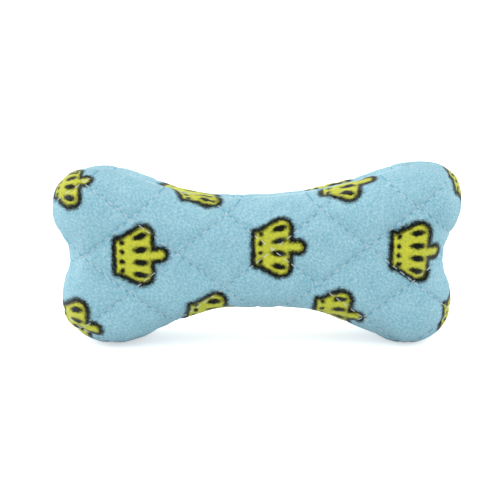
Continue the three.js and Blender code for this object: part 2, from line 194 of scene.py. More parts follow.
class Graph:
    """A node tree under construction, for a material, the world or a Geometry Nodes group."""

    def __init__(self, tree: bpy.types.NodeTree) -> None:
        """Keeps the tree that the nodes go in."""
        self.tree = tree

    def add(
        self,
        kind: str,
        settings: dict[str, Any] | None = None,
        inputs: dict[int | str, Any] | None = None,
    ) -> bpy.types.Node:
        """Adds one node.

        Args:
            kind: The node's type.
            settings: Its properties, which are set before its sockets.
            inputs: Values or wires for its sockets, by name or place.

        Returns:
            The new node.
        """
        node = self.tree.nodes.new(kind)
        for name, value in (settings or {}).items():
            setattr(node, name, value)
        for key, value in (inputs or {}).items():
            socket = node.inputs[key]
            if isinstance(value, Wire):
                self.tree.links.new(value.socket, socket)
            else:
                socket.default_value = value
        return node

    def out(self, node: bpy.types.Node, key: int | str) -> Wire:
        """One of a node's outputs as a wire."""
        return Wire(self, node.outputs[key])

    def mix(self, share: Wire | float, first: Any, second: Any) -> Wire:
        """A colour between two, by a share from 0 to 1."""
        made = self.add("ShaderNodeMix", {"data_type": "RGBA"}, {0: share, 6: first, 7: second})
        return self.out(made, 2)

    def noise(self, place: Wire, scale: float, detail: float = 2.0, roughness: float = 0.5) -> Wire:
        """Smooth noise around 0.5.

        Args:
            place: Where on the piece.
            scale: How many features there are to a unit of the place.
            detail: How many finer layers lie over the first.
            roughness: How strong each finer layer is.

        Returns:
            The noise.
        """
        made = self.add(
            "ShaderNodeTexNoise",
            {},
            {"Vector": place, "Scale": scale, "Detail": detail, "Roughness": roughness},
        )
        return self.out(made, "Fac")

    def scaled(self, place: Wire, factors: tuple[float, float, float]) -> Wire:
        """A vector with each coordinate multiplied."""
        made = self.add("ShaderNodeVectorMath", {"operation": "MULTIPLY"}, {0: place, 1: factors})
        return self.out(made, "Vector")

    def join(self, x: Wire | float, y: Wire | float, z: Wire | float = 0.0) -> Wire:
        """A vector from its coordinates."""
        return self.out(self.add("ShaderNodeCombineXYZ", {}, {0: x, 1: y, 2: z}), 0)

    def parts(self, place: Wire) -> tuple[Wire, Wire, Wire]:
        """A vector's three coordinates."""
        made = self.add("ShaderNodeSeparateXYZ", {}, {0: place})
        return self.out(made, 0), self.out(made, 1), self.out(made, 2)


class Surface(Graph):
    """The graph of one material, round a Principled shader."""

    def __init__(self, name: str, **constants: Any) -> None:
        """Starts a material.

        Args:
            name: The material's name.
            constants: Values for the shader's sockets, with spaces as underscores.
        """
        self.material = bpy.data.materials.new(name)
        self.material.use_nodes = True
        super().__init__(self.material.node_tree)
        self.tree.nodes.clear()
        settings = {key.replace("_", " "): value for key, value in constants.items()}
        self.shader = self.add("ShaderNodeBsdfPrincipled", {}, settings)
        surface = self.out(self.shader, "BSDF")
        self.add("ShaderNodeOutputMaterial", {}, {"Surface": surface})

    def place(self) -> Wire:
        """The point's place on the toy, in metres."""
        return self.out(self.add("ShaderNodeTexCoord"), "Object")

    def cloth(self) -> Wire:
        """The point's place on the flat cloth, in millimetres."""
        found = self.out(self.add("ShaderNodeUVMap", {"uv_map": CLOTH_UV}), "UV")
        return self.scaled(found, (1 / MM, 1 / MM, 1 / MM))

    def feed(self, socket: str, value: Wire) -> None:
        """Links a value to one of the shader's sockets."""
        self.tree.links.new(value.socket, self.shader.inputs[socket])

    def raise_by(self, height: Wire, reach: float, strength: float = 1.0) -> None:
        """Bumps the surface.

        Args:
            height: A height from 0 to 1.
            reach: How far a height of 1 stands out, in metres.
            strength: The bump's strength.
        """
        values = {"Strength": strength, "Distance": reach, "Height": height}
        made = self.add("ShaderNodeBump", {}, values)
        self.feed("Normal", self.out(made, "Normal"))


# The stuffed form, as the CAD source makes it


class Side(Enum):
    """The toy's two panels, by the way that each faces along Y."""

    FRONT = -1
    BACK = 1

    @property
    def word(self) -> str:
        """The panel's name in the names of nodes and pieces."""
        return self.name.lower()


@dataclass(frozen=True)
class Arc:
    """One arc of the outline: what it turns about and which way it bends."""

    x: float
    z: float
    radius: float
    bulge: int
    start: float
    sweep: float

    def at(self, share: Array, inset: float | Array = 0.0) -> tuple[Array, Array]:
        """Finds points along the arc, moved into the toy.

        Args:
            share: How far along the arc each point lies, from 0 to 1.
            inset: How far each is moved in.

        Returns:
            The points and their outward directions, one row of X and Z each.
        """
        angle = self.start + self.sweep * (share if self.bulge > 0 else 1 - share)
        ray = np.stack([np.cos(angle), np.sin(angle)], axis=1)
        radius = np.reshape(self.radius - self.bulge * np.asarray(inset), (-1, 1))
        return np.array([self.x, self.z]) + radius * ray, self.bulge * ray


@dataclass(frozen=True)
class BoneForm:
    """The sewn outline and the stuffed section, with the sizes that drive the CAD source.

    Two fields run anticlockwise from the upper right: stuffed, which is how far the filling has
    moved each lobe in X and Z and grown it, and hollow_radii, of the hollows that follow the lobes.
    Each of the leans is a place along X and how far the top seam leans to the front there.
    Each of the pushes is a place on the outline and how far the filling pushes it.
    """

    upper_length: float = 180 * MM
    lower_length: float = 174 * MM
    sewn_height: float = 82 * MM
    lobe_radius: float = 20.5 * MM
    hollow_radii: tuple[float, ...] = (155 * MM, 17 * MM, 116 * MM, 18 * MM)
    rest_flat: float = 0.5 * MM
    shank_thickness: float = 42 * MM
    lobe_thickness: float = 45 * MM
    edge_width: float = 18 * MM
    roundness: float = 2.25
    lean: float = 1.0 * MM
    leans: tuple[tuple[float, float], ...] = (
        (-72 * MM, 4.4 * MM),
        (-30 * MM, 6.2 * MM),
        (32 * MM, -3.0 * MM),
        (62 * MM, 2.4 * MM),
    )
    lean_length: float = 20 * MM
    lean_depth: float = 16 * MM
    lean_rise: float = 0.6
    stuffed: tuple[tuple[float, float, float], ...] = (
        (0.0, 0.2 * MM, -0.2 * MM),
        (-0.3 * MM, -0.9 * MM, -0.4 * MM),
        (1.9 * MM, 1.5 * MM, 1.6 * MM),
        (-0.5 * MM, 0.2 * MM, 1.2 * MM),
    )
    pushes: tuple[tuple[float, float, float, float], ...] = (
        (89 * MM, 53 * MM, -1.0 * MM, 0.0),
        (84 * MM, 75 * MM, 1.1 * MM, 1.1 * MM),
        (67 * MM, 81 * MM, 0.0, -1.2 * MM),
        (-10 * MM, 66 * MM, 0.0, -0.8 * MM),
        (-58 * MM, 78 * MM, 0.3 * MM, 0.9 * MM),
        (-70 * MM, 80 * MM, 0.0, -1.4 * MM),
        (-86 * MM, 71 * MM, -0.9 * MM, 0.5 * MM),
        (-84 * MM, 33 * MM, -1.1 * MM, 0.4 * MM),
        (-84 * MM, 12 * MM, -1.6 * MM, -0.6 * MM),
        (-49 * MM, 7 * MM, 1.8 * MM, -0.5 * MM),
        (14 * MM, 8 * MM, 0.0, 1.4 * MM),
        (88 * MM, 24 * MM, -1.1 * MM, 0.0),
    )
    push_reach: float = 10 * MM

    @cached_property
    def lobes(self) -> list[tuple[float, float, float]]:
        """The lobes' circles.

        Returns:
            The X and Z of each one's centre and its radius, anticlockwise from the upper right.
        """
        upper = self.sewn_height - self.rest_flat - self.lobe_radius
        lower = self.lobe_radius - self.rest_flat
        wide = self.upper_length / 2 - self.lobe_radius
        narrow = self.lower_length / 2 - self.lobe_radius
        centres = [(wide, upper), (-wide, upper), (-narrow, lower), (narrow, lower)]
        return [
            (x + dx, z + dz, self.lobe_radius + grown)
            for (x, z), (dx, dz, grown) in zip(centres, self.stuffed)
        ]

    @cached_property
    def arcs(self) -> list[Arc]:
        """The outline's arcs, each tangent to the next.

        Returns:
            Each lobe's arc and that of the hollow after it, anticlockwise from the upper right.
        """
        bridges = []
        for k, ((x, z, size), radius) in enumerate(zip(self.lobes, self.hollow_radii)):
            next_x, next_z, next_size = self.lobes[(k + 1) % 4]
            apart = math.hypot(next_x - x, next_z - z)
            reach, next_reach = size + radius, next_size + radius
            along = (reach**2 - next_reach**2 + apart**2) / (2 * apart)
            out = math.sqrt(reach**2 - along**2)
            way_x, way_z = (next_x - x) / apart, (next_z - z) / apart
            centre_x = x + way_x * along + way_z * out
            centre_z = z + way_z * along - way_x * out
            bridges.append((centre_x, centre_z, radius))

        def bearing(start: Sequence[float], end: Sequence[float]) -> float:
            """The direction from one centre to another."""
            return math.atan2(end[1] - start[1], end[0] - start[0])

        arcs = []
        for k, lobe in enumerate(self.lobes):
            before = bridges[k - 1]
            after = bridges[k]
            following = self.lobes[(k + 1) % 4]
            start, end = bearing(lobe, before), bearing(lobe, after)
            arcs.append(Arc(*lobe, 1, start, (end - start) % math.tau))
            start, end = bearing(after, following), bearing(after, lobe)
            arcs.append(Arc(*after, -1, start, (end - start) % math.tau))
        return arcs

    @cached_property
    def under_waist(self) -> Arc:
        """The hollow arc under the waist, whose centre lies lowest."""
        return min(self.arcs, key=lambda arc: arc.z)

    def inset(self, plan: Array) -> Array:
        """How far points of the front view lie inside the outline.

        Args:
            plan: Their X and Z, one row each.

        Returns:
            The distance to the outline, below 0 outside it.
        """
        found = np.full(len(plan), -np.inf)
        for arc in self.arcs:
            dx, dz = plan[:, 0] - arc.x, plan[:, 1] - arc.z
            turned = np.mod(np.arctan2(dz, dx) - arc.start, math.tau)
            here = arc.bulge * (arc.radius - np.hypot(dx, dz))
            closer = (turned <= arc.sweep) & (np.abs(here) < np.abs(found))
            found = np.where(closer, here, found)
        return found

    def settled(self, points: Array) -> Array:
        """Points of the even form, moved to where uneven stuffing leaves them.

        Args:
            points: Places on or in the toy, one row of three coordinates each.

        Returns:
            The places, with the edge pushed about and the top seam leaning to the front.
        """
        moved = points.copy()
        for x, z, across, up in self.pushes:
            far = np.hypot(points[:, 0] - x, points[:, 2] - z)
            share = np.exp(-((far / self.push_reach) ** 2))
            moved[:, 0] += across * share
            moved[:, 2] += up * share
        moved[:, 2] = np.maximum(moved[:, 2], 0.0)
        middle = self.sewn_height / 2 - self.rest_flat
        height = np.clip((points[:, 2] - middle) / (self.lean_rise * middle), 0, 1)
        near = 1 - np.clip(np.abs(points[:, 1]) / self.lean_depth, 0, 1)
        lean = np.full(len(points), self.lean)
        for at, push in self.leans:
            lean += push * np.exp(-(((points[:, 0] - at) / self.lean_length) ** 2))
        moved[:, 1] -= lean * height * height * (3 - 2 * height) * near * near
        return moved

    def level_rise(self, x: Array) -> Array:
        """Half the thickness where a face is level, which grows from the shank to the lobes.

        Args:
            x: Places along the toy.

        Returns:
            How far the face rises over the seam's plane at each.
        """
        along = np.minimum(1, np.abs(x) / self.lobes[0][0])
        swell = (self.lobe_thickness - self.shank_thickness) / 2
        return self.shank_thickness / 2 + along * along * (3 - 2 * along) * swell


@dataclass(frozen=True)
class Quilting:
    """Diamond quilting: two ways of straight sewn lines, as seen from the front."""

    x: float
    z: float
    skew: tuple[float, float] = (0.0, 0.0)
    width: float = 40.7 * MM
    height: float = 32.7 * MM
    depth: float = 1.7 * MM
    reach: float = 7 * MM

    @cached_property
    def sides(self) -> Array:
        """The sides of one diamond as rows: the one that rises to the right, and the one that falls."""
        across, up = np.array([self.width, self.skew[0]]), np.array([self.skew[1], self.height])
        return np.array([across + up, across - up]) / 2

    @cached_property
    def slopes(self) -> Array:
        """Columns that turn a place into how many diamond sides it lies along each way."""
        return np.linalg.inv(self.sides)

    @cached_property
    def spacing(self) -> Array:
        """The distances between neighbouring lines: of those that fall, then of those that rise."""
        return 1 / np.linalg.norm(self.slopes, axis=0)

    def off_line(self, plan: Array) -> Array:
        """The distance from each point to the nearest sewn line."""
        sides = (plan - np.array([self.x, self.z])) @ self.slopes
        return np.min(np.abs(sides - np.round(sides)) * self.spacing, axis=1)

    def draw(self, plan: Array) -> Array:
        """How deep the sewn lines draw the panel in at each point."""
        return self.depth * np.maximum(0, 1 - self.off_line(plan) / self.reach) ** 2


@dataclass(frozen=True)
class PanelNet:
    """The cut cloth of a panel as a net of even triangles, out from its middle to the seam."""

    form: BoneForm
    spacing: float = 2.3 * MM
    cleft_ease: float = 0.55
    lattice_gap: float = 0.6
    section_steps: int = 600

    @cached_property
    def _section(self) -> tuple[Array, Array]:
        """The section of the panel's edge.

        Returns:
            The length along it from where it levels out, and the share of the edge's width left at
            each length.
        """
        turned = np.linspace(0, math.pi / 2, self.section_steps)
        left = np.sin(turned) ** (2 / self.form.roundness)
        rise = np.cos(turned) ** (2 / self.form.roundness)
        height = (self.form.shank_thickness + self.form.lobe_thickness) / 4
        steps = np.hypot(np.diff(left) * self.form.edge_width, np.diff(rise) * height)
        return np.concatenate([[0], np.cumsum(steps)]), left

    @cached_property
    def _points(self) -> dict[str, Array]:
        """The net's points, row by row from the seam inwards.

        Returns:
            Their places in the front view, outward directions, shares of the edge's width and
            places on the flat cloth, under the names plan, out, left and cloth.
        """
        lengths, shares = self._section
        rows = round(lengths[-1] / self.spacing)
        edge = self.form.edge_width
        plan, out, left, cloth = [], [], [], []
        for row in range(rows, -1, -1):
            length = lengths[-1] * row / rows
            share = float(np.interp(length, lengths, shares))
            reach = length - edge * share
            for arc in self.form.arcs:
                inset = edge * (1 - share)
                count = max(2, round((arc.radius - arc.bulge * inset) * arc.sweep / self.spacing))
                along = (np.arange(count) + 0.5) / count
                at, way = arc.at(along, inset)
                tight = arc.bulge < 0 and arc.radius < self.form.lobe_radius
                ease = self.cleft_ease * np.sin(math.pi * along) ** 2 if tight else np.zeros(count)
                plan.append(at)
                out.append(way)
                left.append(np.full(count, share))
                cloth.append(at + way * (reach * (1 - ease))[:, None])
        middle = self._lattice()
        plan.append(middle)
        out.append(np.zeros_like(middle))
        left.append(np.zeros(len(middle)))
        cloth.append(middle)
        names = ("plan", "out", "left", "cloth")
        return dict(zip(names, (np.concatenate(part) for part in (plan, out, left, cloth))))

    def _lattice(self) -> Array:
        """The points of the level middle, in staggered rows.

        Returns:
            Their X and Z, one row each.
        """
        step = self.spacing
        tall = step * math.sqrt(3) / 2
        half = int(self.form.upper_length / 2 / step)
        rows = int(self.form.sewn_height / tall)
        across, up = np.meshgrid(np.arange(-half, half + 1), np.arange(rows + 1))
        plan = np.stack([(across + 0.5 * (up % 2)) * step, up * tall], axis=2).reshape(-1, 2)
        return plan[self.form.inset(plan) > self.form.edge_width + self.lattice_gap * step]

    @property
    def plan(self) -> Array:
        """X and Z of each point at the skin."""
        return self._points["plan"]

    @property
    def out(self) -> Array:
        """Each point's outward direction in the front view, and nothing in the level middle."""
        return self._points["out"]

    @property
    def cloth(self) -> Array:
        """Where each point lies on the flat cloth."""
        return self._points["cloth"]

    @cached_property
    def rim(self) -> Array:
        """The seam's points, in order; they come first."""
        return np.flatnonzero(self._points["left"] > 1 - 1e-9)

    @cached_property
    def triangles(self) -> Array:
        """The net's triangles.

        Returns:
            The three points of each, one row each, turned to face the front.
        """
        flat = [Vector(point) for point in self.cloth]
        found = delaunay_2d_cdt(flat, [], [self.rim.tolist()], 1, 1e-7)
        origin = np.array([came[0] for came in found[3]])
        return origin[np.array([face for face in found[2] if len(face) == 3])]

    def shaped(self, side: Side, quilting: Quilting | None, depth: float = 0.0) -> Array:
        """The net laid on the stuffed form, at a depth under the skin.

        Args:
            side: The panel.
            quilting: What draws the surface in, if it is quilted.
            depth: How far under the skin.

        Returns:
            The points, one row of three coordinates each.
        """
        left, form = self._points["left"], self.form
        own = form.inset(self.plan)
        at_skin = np.where(left > 0, form.edge_width * (1 - left), own)
        at_depth = np.where(left > 0, form.edge_width - left * (form.edge_width - depth), own)
        plan = self.plan - self.out * (at_depth - at_skin)[:, None]
        draw = quilting.draw(plan) if quilting else 0.0
        swell = (1 - left**form.roundness) ** (1 / form.roundness)
        rise = swell * (form.level_rise(plan[:, 0]) - depth - draw)
        return np.stack([plan[:, 0], side.value * rise, plan[:, 1]], axis=1)


# Meshes


@dataclass
class Part:
    """Points and faces on their way to becoming a piece.

    Where they are given, cloth is each point's place on the flat cloth, inner_from is the first
    face of the wrong side, and even is each point's place on the even form.
    """

    points: Array
    faces: list[Sequence[int]]
    cloth: Array | None = None
    inner_from: int | None = None
    even: Array | None = None

    def piece(self, name: str, materials: Sequence[bpy.types.Material]) -> bpy.types.Object:
        """Makes the piece's object.

        Args:
            name: Its name.
            materials: Its finish, and that of the faces past inner_from.

        Returns:
            The object, smooth-shaded, at the origin.
        """
        mesh = bpy.data.meshes.new(name)
        mesh.from_pydata(self.points.tolist(), [], [list(map(int, face)) for face in self.faces])
        for material in materials:
            mesh.materials.append(material)
        mesh.polygons.foreach_set("use_smooth", np.ones(len(mesh.polygons), bool))
        if self.inner_from is not None and len(materials) > 1:
            slots = np.zeros(len(mesh.polygons), np.int32)
            slots[self.inner_from :] = 1
            mesh.polygons.foreach_set("material_index", slots)
        if self.cloth is not None:
            corners = np.zeros(len(mesh.loops), np.int32)
            mesh.loops.foreach_get("vertex_index", corners)
            layer = mesh.uv_layers.new(name=CLOTH_UV)
            layer.data.foreach_set("uv", self.cloth[corners].astype(np.float32).ravel())
        if self.even is not None:
            held = mesh.attributes.new(EVEN_PLACE, "FLOAT_VECTOR", "POINT")
            held.data.foreach_set("vector", self.even.astype(np.float32).ravel())
        mesh.validate()
        mesh.update()
        made = bpy.data.objects.new(name, mesh)
        bpy.context.scene.collection.objects.link(made)
        return made


def numbers(items: Any, name: str, width: int, kind: type = np.float32) -> Array:
    """Reads one property of many mesh elements.

    Args:
        items: The elements.
        name: The property.
        width: How many numbers it has.
        kind: What the numbers are.

    Returns:
        An array with a row for each element, or a flat one for a width of 1.
    """
    values = np.zeros(len(items) * width, kind)
    items.foreach_get(name, values)
    return values.reshape(-1, width) if width > 1 else values


def evaluated(made: bpy.types.Object) -> bpy.types.Mesh:
    """A plain mesh of an object as its modifiers leave it."""
    graph = bpy.context.evaluated_depsgraph_get()
    return bpy.data.meshes.new_from_object(made.evaluated_get(graph))


def lumps(points: Array, size: float, seed: float) -> Array:
    """Smooth noise from -1 to 1 at each point, with lumps of one size and a seed's shift."""
    shift = Vector((seed, 2 * seed, 3 * seed))
    return np.array([noise.noise(Vector(point) / size + shift) for point in points])


def bridged(outer: Sequence[int], inner: Sequence[int]) -> list[Sequence[int]]:
    """Joins two loops that start side by side with triangles.

    Args:
        outer: The finer loop, with a whole number of points to each point of the coarser one.
        inner: The coarser loop.

    Returns:
        The triangles.
    """
    ratio = len(outer) // len(inner)
    faces: list[Sequence[int]] = []
    for k, corner in enumerate(inner):
        follow = inner[(k + 1) % len(inner)]
        steps = [outer[(k * ratio + j) % len(outer)] for j in range(ratio + 1)]
        turn = (ratio + 1) // 2
        faces += [(steps[j], steps[j + 1], corner) for j in range(turn)]
        faces.append((steps[turn], follow, corner))
        faces += [(steps[j], steps[j + 1], follow) for j in range(turn, ratio)]
    return faces


def banded(first: Iterable[int], second: Iterable[int]) -> list[Sequence[int]]:
    """Joins two loops with the same number of points with quads.

    Args:
        first: One loop.
        second: The other, in the same order.

    Returns:
        The quads.
    """
    one, other = list(first), list(second)
    following = [(k + 1) % len(one) for k in range(len(one))]
    return [(one[k], one[j], other[j], other[k]) for k, j in enumerate(following)]


# Finishes


@dataclass(frozen=True)
class CrownPrint:
    """A generic crown that lies on its side, repeated in half-drop rows, in millimetres.

    Stuffing draws the rows: they bow down from bow_from on, and the staggered crowns drift up, are
    drawn together by the waist's pinch, slip along it and turn with its slope, up to turn_ends.
    The crown itself is laid out from its base, where u is 0, to the end of its knob, with the same
    half on each side of its middle line.
    """

    x: float
    z: float
    pitch: float = 59.3
    row: float = 33.0
    bow: float = 5.4
    bow_from: float = 22.0
    bow_reach: float = 55.0
    drift: float = 1.1
    pinch: float = 1.2
    pinch_reach: float = 30.0
    turn: float = 0.15
    turn_ends: float = 90.0
    slip: float = 1.4
    centre: float = 12.5

    base_half: float = 6.8
    flare: float = 0.57
    flare_share: float = 0.85
    waist_half: float = 9.0
    tips_at: float = 14.0
    tips_half: float = 8.7
    tip_radius: float = 5.0
    band_at: float = 2.8
    band_half: float = 7.0
    band_radius: float = 2.0
    band_slant: float = 2.0
    knob_from: float = 12.0
    knob_at: float = 21.1
    knob_radius: float = 3.7

    slot_at: float = 12.8
    slot_size: tuple[float, float] = (3.6, 1.6)
    slot_places: tuple[float, float] = (5.6, 2.8)
    slot_depth: float = 1.5
    fan: tuple[float, float] = (0.7, 0.024)
    dot_at: float = 5.0
    dot_radius: float = 1.3
    dot_places: tuple[float, float] = (4.1, 2.0)

    rim: float = 2.1
    fuzz: float = 1.3
    fuzz_scale: float = 0.45
    hair_scale: float = 1.7
    outline_hair: float = 5.6
    outline_edges: tuple[float, float] = (-1.4, 0.5)
    fill_hair: float = 4.2
    fill_edges: tuple[float, float] = (-0.8, 0.9)
    mark_hair: float = 2.4
    mark_edges: tuple[float, float] = (-0.4, 0.6)
    yellow: Colour = srgb(211, 212, 64)
    shaded: Colour = srgb(168, 179, 64)
    ink: Colour = srgb(3, 7, 2)

    def masks(self, surface: Surface, cloth: Wire) -> tuple[Wire, Wire]:
        """The print's masks.

        Args:
            surface: The material's graph.
            cloth: The place on the flat cloth, in millimetres.

        Returns:
            Where the crown with its outline lies, and where it is yellow, each from 0 to 1.
        """
        u, v = self._on_crown(surface, cloth)
        whole, marks = self._crown(u, abs(v))
        hairs = surface.noise(cloth, self.hair_scale, 4.0, 0.75) - 0.5
        inked = (whole + hairs * self.outline_hair).step(*self.outline_edges)
        filled = (whole + hairs * self.fill_hair - self.rim).step(*self.fill_edges)
        marked = (marks + hairs * self.mark_hair).step(*self.mark_edges)
        return inked, filled * (1.0 - marked)

    def _on_crown(self, surface: Surface, cloth: Wire) -> tuple[Wire, Wire]:
        """Finds each point's place on the crown nearest to it.

        Args:
            surface: The material's graph.
            cloth: The place on the flat cloth, in millimetres.

        Returns:
            How far it lies from the crown's base, and to which side of its middle line.
        """
        x, z, _ = surface.parts(cloth)
        mirrored = surface.scaled(cloth, (-1.0, 1.0, 1.0))
        wander = surface.noise(cloth, self.fuzz_scale, 1.0) - 0.5
        sway = surface.noise(mirrored, self.fuzz_scale, 1.0) - 0.5
        x, z = x + wander * self.fuzz, z + sway * self.fuzz
        away = (x - self.bow_from) * (x - self.bow_from)
        sag = away / (away + self.bow_reach**2) * self.bow
        rise = z - self.z + sag
        up = rise.wrapped(self.row)
        staggered = abs(up - self.drift / 2).above(self.row / 2)
        v = (up - (self.row + self.drift) * staggered).wrapped(self.row)
        off = x - self.x
        drawn = off / (off * off + self.pinch_reach**2) * (2 * self.pinch * self.pinch_reach)
        row_side = (rise / self.row).least(1.0).most(-1.0)
        half_side = (off / self.pinch_reach).least(1.0).most(-1.0)
        slipped = (1.0 - row_side * half_side) * self.slip
        u = (off + staggered * (drawn + slipped - self.pitch / 2)).wrapped(self.pitch / 2)
        fading = (1.0 - off / self.turn_ends).least(1.0).most(0.0)
        turned = row_side * staggered * fading * self.turn
        return u + v * turned + self.centre, v - u * turned

    def _crown(self, u: Wire, side: Wire) -> tuple[Wire, Wire]:
        """Lays out one crown.

        Args:
            u: How far a point lies from the crown's base.
            side: How far it lies from the crown's middle line.

        Returns:
            How deep the point lies inside the crown, and how deep inside its dark slots and dots.
        """
        flared = (self.base_half + self.flare * u - side) * self.flare_share
        beyond_tips = distance((u - self.tips_at).most(0.0), (side - self.tips_half).most(0.0))
        beyond_band = distance((self.band_at - u).most(0.0), (side - self.band_half).most(0.0))
        past_band = (u - self.band_at).most(0.0)
        band = self.band_radius - beyond_band + past_band * self.band_slant
        body = flared.most(self.waist_half - side).least(self.tip_radius - beyond_tips).least(band)
        knob = self.knob_radius - distance((u - self.knob_at).most(0.0), side)
        whole = body.most(knob.least(u - self.knob_from))

        long, wide = self.slot_size
        fanned = side / (self.fan[0] + self.fan[1] * u)
        off_slot = (abs(fanned - self.slot_places[0]) - self.slot_places[1]) / wide
        slots = 1.0 - distance((u - self.slot_at) / long, off_slot)
        off_dot = (abs(side - self.dot_places[0]) - self.dot_places[1]) / self.dot_radius
        dots = 1.0 - distance((u - self.dot_at) / self.dot_radius, off_dot)
        return whole, (slots * self.slot_depth).most(dots)


@dataclass(frozen=True)
class FleeceFinish:
    """Short-piled printed fleece, with painted shade on the quilting's lines and a painted highlight
    along the seam.
    """

    name: str
    quilting: Quilting
    print: CrownPrint | None
    base: Colour = srgb(126, 183, 200)
    light: Colour = srgb(172, 211, 224)
    # deep is the painted shade on the quilting's lines; pale is the painted highlight on the pile
    # beside the seam.
    deep: Colour = srgb(88, 164, 194)
    pale: Colour = srgb(196, 225, 235)
    sheen_tint: Colour = (0.86, 0.95, 1.0, 1.0)
    combing: tuple[float, float] = (0.9, 0.5)
    speckling: float = 4.0
    patch_scale: float = 0.11
    patching: float = 0.8
    lightness: float = 0.47
    print_speckling: float = 3.0
    print_lightness: float = 0.7
    lip: tuple[float, float] = (0.2 * MM, 1.2 * MM)
    lip_edges: tuple[float, float] = (0.5, 0.7)
    lip_share: float = 0.6
    lip_hidden: float = 0.3
    line_share: float = 0.85
    line_edges: tuple[float, float] = (0.42 * MM, 0.05 * MM)
    tuft_scale: float = 1.3
    pile: float = 1.0 * MM

    def build(self) -> bpy.types.Material:
        """Makes the material.

        Returns:
            The material, plain where the finish has no print.
        """
        surface = Surface(
            self.name,
            Roughness=0.95,
            Specular_IOR_Level=0.15,
            Sheen_Weight=0.3,
            Sheen_Roughness=0.3,
            Sheen_Tint=self.sheen_tint,
        )
        cloth = surface.cloth()
        x, z, _ = surface.parts(cloth)
        combed = surface.join((x + z) * self.combing[0], (z - x) * self.combing[1])
        speckle = surface.noise(combed, 1.0, 3.0, 0.7) - 0.5
        patches = surface.noise(cloth, self.patch_scale, 3.0, 0.6) - 0.5
        shade = speckle * self.speckling + patches * self.patching + self.lightness
        colour = surface.mix(shade.most(0.0).least(1.0), self.base, self.light)
        if self.print:
            inked, filled = self.print.masks(surface, cloth)
            bright = speckle * self.print_speckling + self.print_lightness
            bright = bright.most(0.0).least(1.0)
            yellow = surface.mix(bright, self.print.shaded, self.print.yellow)
            colour = surface.mix(inked, colour, self.print.ink)
            colour = surface.mix(filled, colour, yellow)
            groove, edge = self._sewn_lines(surface)
            # Painted shade: a deeper blue along the quilting's lines, where the grooves lie in shade.
            colour = surface.mix(groove * (1.0 - inked) * self.line_share, colour, self.deep)
            # Painted highlight: a pale band beside the seam, where the pile's folded edge catches the
            # light, fainter over the ink.
            painted_lip_highlight = edge * (1.0 - inked * self.lip_hidden) * self.lip_share
            colour = surface.mix(painted_lip_highlight, colour, self.pale)
        surface.feed("Base Color", colour)
        surface.raise_by(surface.noise(combed, self.tuft_scale, 4.0, 0.75), self.pile)
        return surface.material

    def _sewn_lines(self, surface: Surface) -> tuple[Wire, Wire]:
        """Finds the sewn lines on the even form.

        Args:
            surface: The material's graph.

        Returns:
            Masks that are 1 on the quilting's lines, for the painted shade, and on the lip beside the
            seam, for the painted highlight.
        """
        found = surface.add("ShaderNodeAttribute", {"attribute_name": EVEN_PLACE})
        x, y, z = surface.parts(surface.out(found, "Vector"))
        x, z = x - self.quilting.x, z - self.quilting.z
        off = [
            (x * float(slope[0]) + z * float(slope[1])).off_whole() * float(spacing)
            for slope, spacing in zip(self.quilting.slopes.T, self.quilting.spacing)
        ]
        groove = off[0].least(off[1]).step(*self.line_edges)
        near, far = self.lip
        before_far = abs(y).step(far, self.lip_edges[1] * far)
        past_near = abs(y).step(self.lip_edges[0] * near, near)
        return groove, before_far * past_near


@dataclass(frozen=True)
class ThreadFinish:
    """Sewing thread: clear monofilament, or a spun one."""

    name: str
    base: Colour
    roughness: float
    alpha: float = 1.0
    shimmer_scale: float = 2400.0
    shimmer: float = 1.12
    relief: float = 0.05 * MM

    def build(self) -> bpy.types.Material:
        """Makes the material.

        Returns:
            The material, with a faint shimmer.
        """
        surface = Surface(self.name, Roughness=self.roughness, Alpha=self.alpha)
        glints = surface.noise(surface.place(), self.shimmer_scale, 2.0)
        bright = tuple(min(1.0, channel * self.shimmer) for channel in self.base[:3]) + (1.0,)
        surface.feed("Base Color", surface.mix(glints, self.base, bright))
        surface.raise_by(glints, self.relief, 0.4)
        return surface.material


@dataclass(frozen=True)
class FibreFinish:
    """Loose bonded polyester fibre, as in wadding and filling."""

    name: str
    base: Colour = srgb(240, 240, 235)
    shade: Colour = srgb(214, 216, 212)
    strand: float = 0.8 * MM
    stretch: tuple[float, float, float] = (1.0, 1.0, 3.0)
    shade_edges: tuple[float, float] = (0.3, 0.7)

    def build(self) -> bpy.types.Material:
        """Makes the material.

        Returns:
            The material, streaked by its strands.
        """
        surface = Surface(self.name, Roughness=1.0, Sheen_Weight=0.3)
        place = surface.place()
        stretched = surface.scaled(place, self.stretch)
        strands = surface.noise(stretched, 1 / self.strand, 5.0, 0.75)
        lit = strands.step(*self.shade_edges)
        surface.feed("Base Color", surface.mix(lit, self.shade, self.base))
        surface.raise_by(strands, self.strand, 0.9)
        return surface.material


@dataclass(frozen=True)
class BackingFinish:
    """Thin non-woven backing, with the dimples of its spot bonding."""

    name: str
    base: Colour = srgb(228, 230, 228)
    shade: Colour = srgb(196, 200, 200)
    pitch: float = 1.2
    spot_edges: tuple[float, float] = (0.35, 0.2)
    spot_share: float = 0.6
    fibre_scale: float = 2.2
    fibre_share: float = 0.4
    fibre_relief: float = 0.3
    dimple: float = 0.1 * MM

    def build(self) -> bpy.types.Material:
        """Makes the material.

        Returns:
            The material, with a dimple at every pitch of the flat cloth's millimetres.
        """
        surface = Surface(self.name, Roughness=0.9)
        cloth = surface.cloth()
        x, z, _ = surface.parts(cloth)
        off_spot = distance((x / self.pitch).off_whole(), (z / self.pitch).off_whole())
        spots = off_spot.step(*self.spot_edges)
        fibres = surface.noise(cloth, self.fibre_scale, 4.0, 0.7)
        dark = spots * self.spot_share + fibres * self.fibre_share
        surface.feed("Base Color", surface.mix(dark, self.base, self.shade))
        surface.raise_by(1.0 - spots + fibres * self.fibre_relief, self.dimple)
        return surface.material


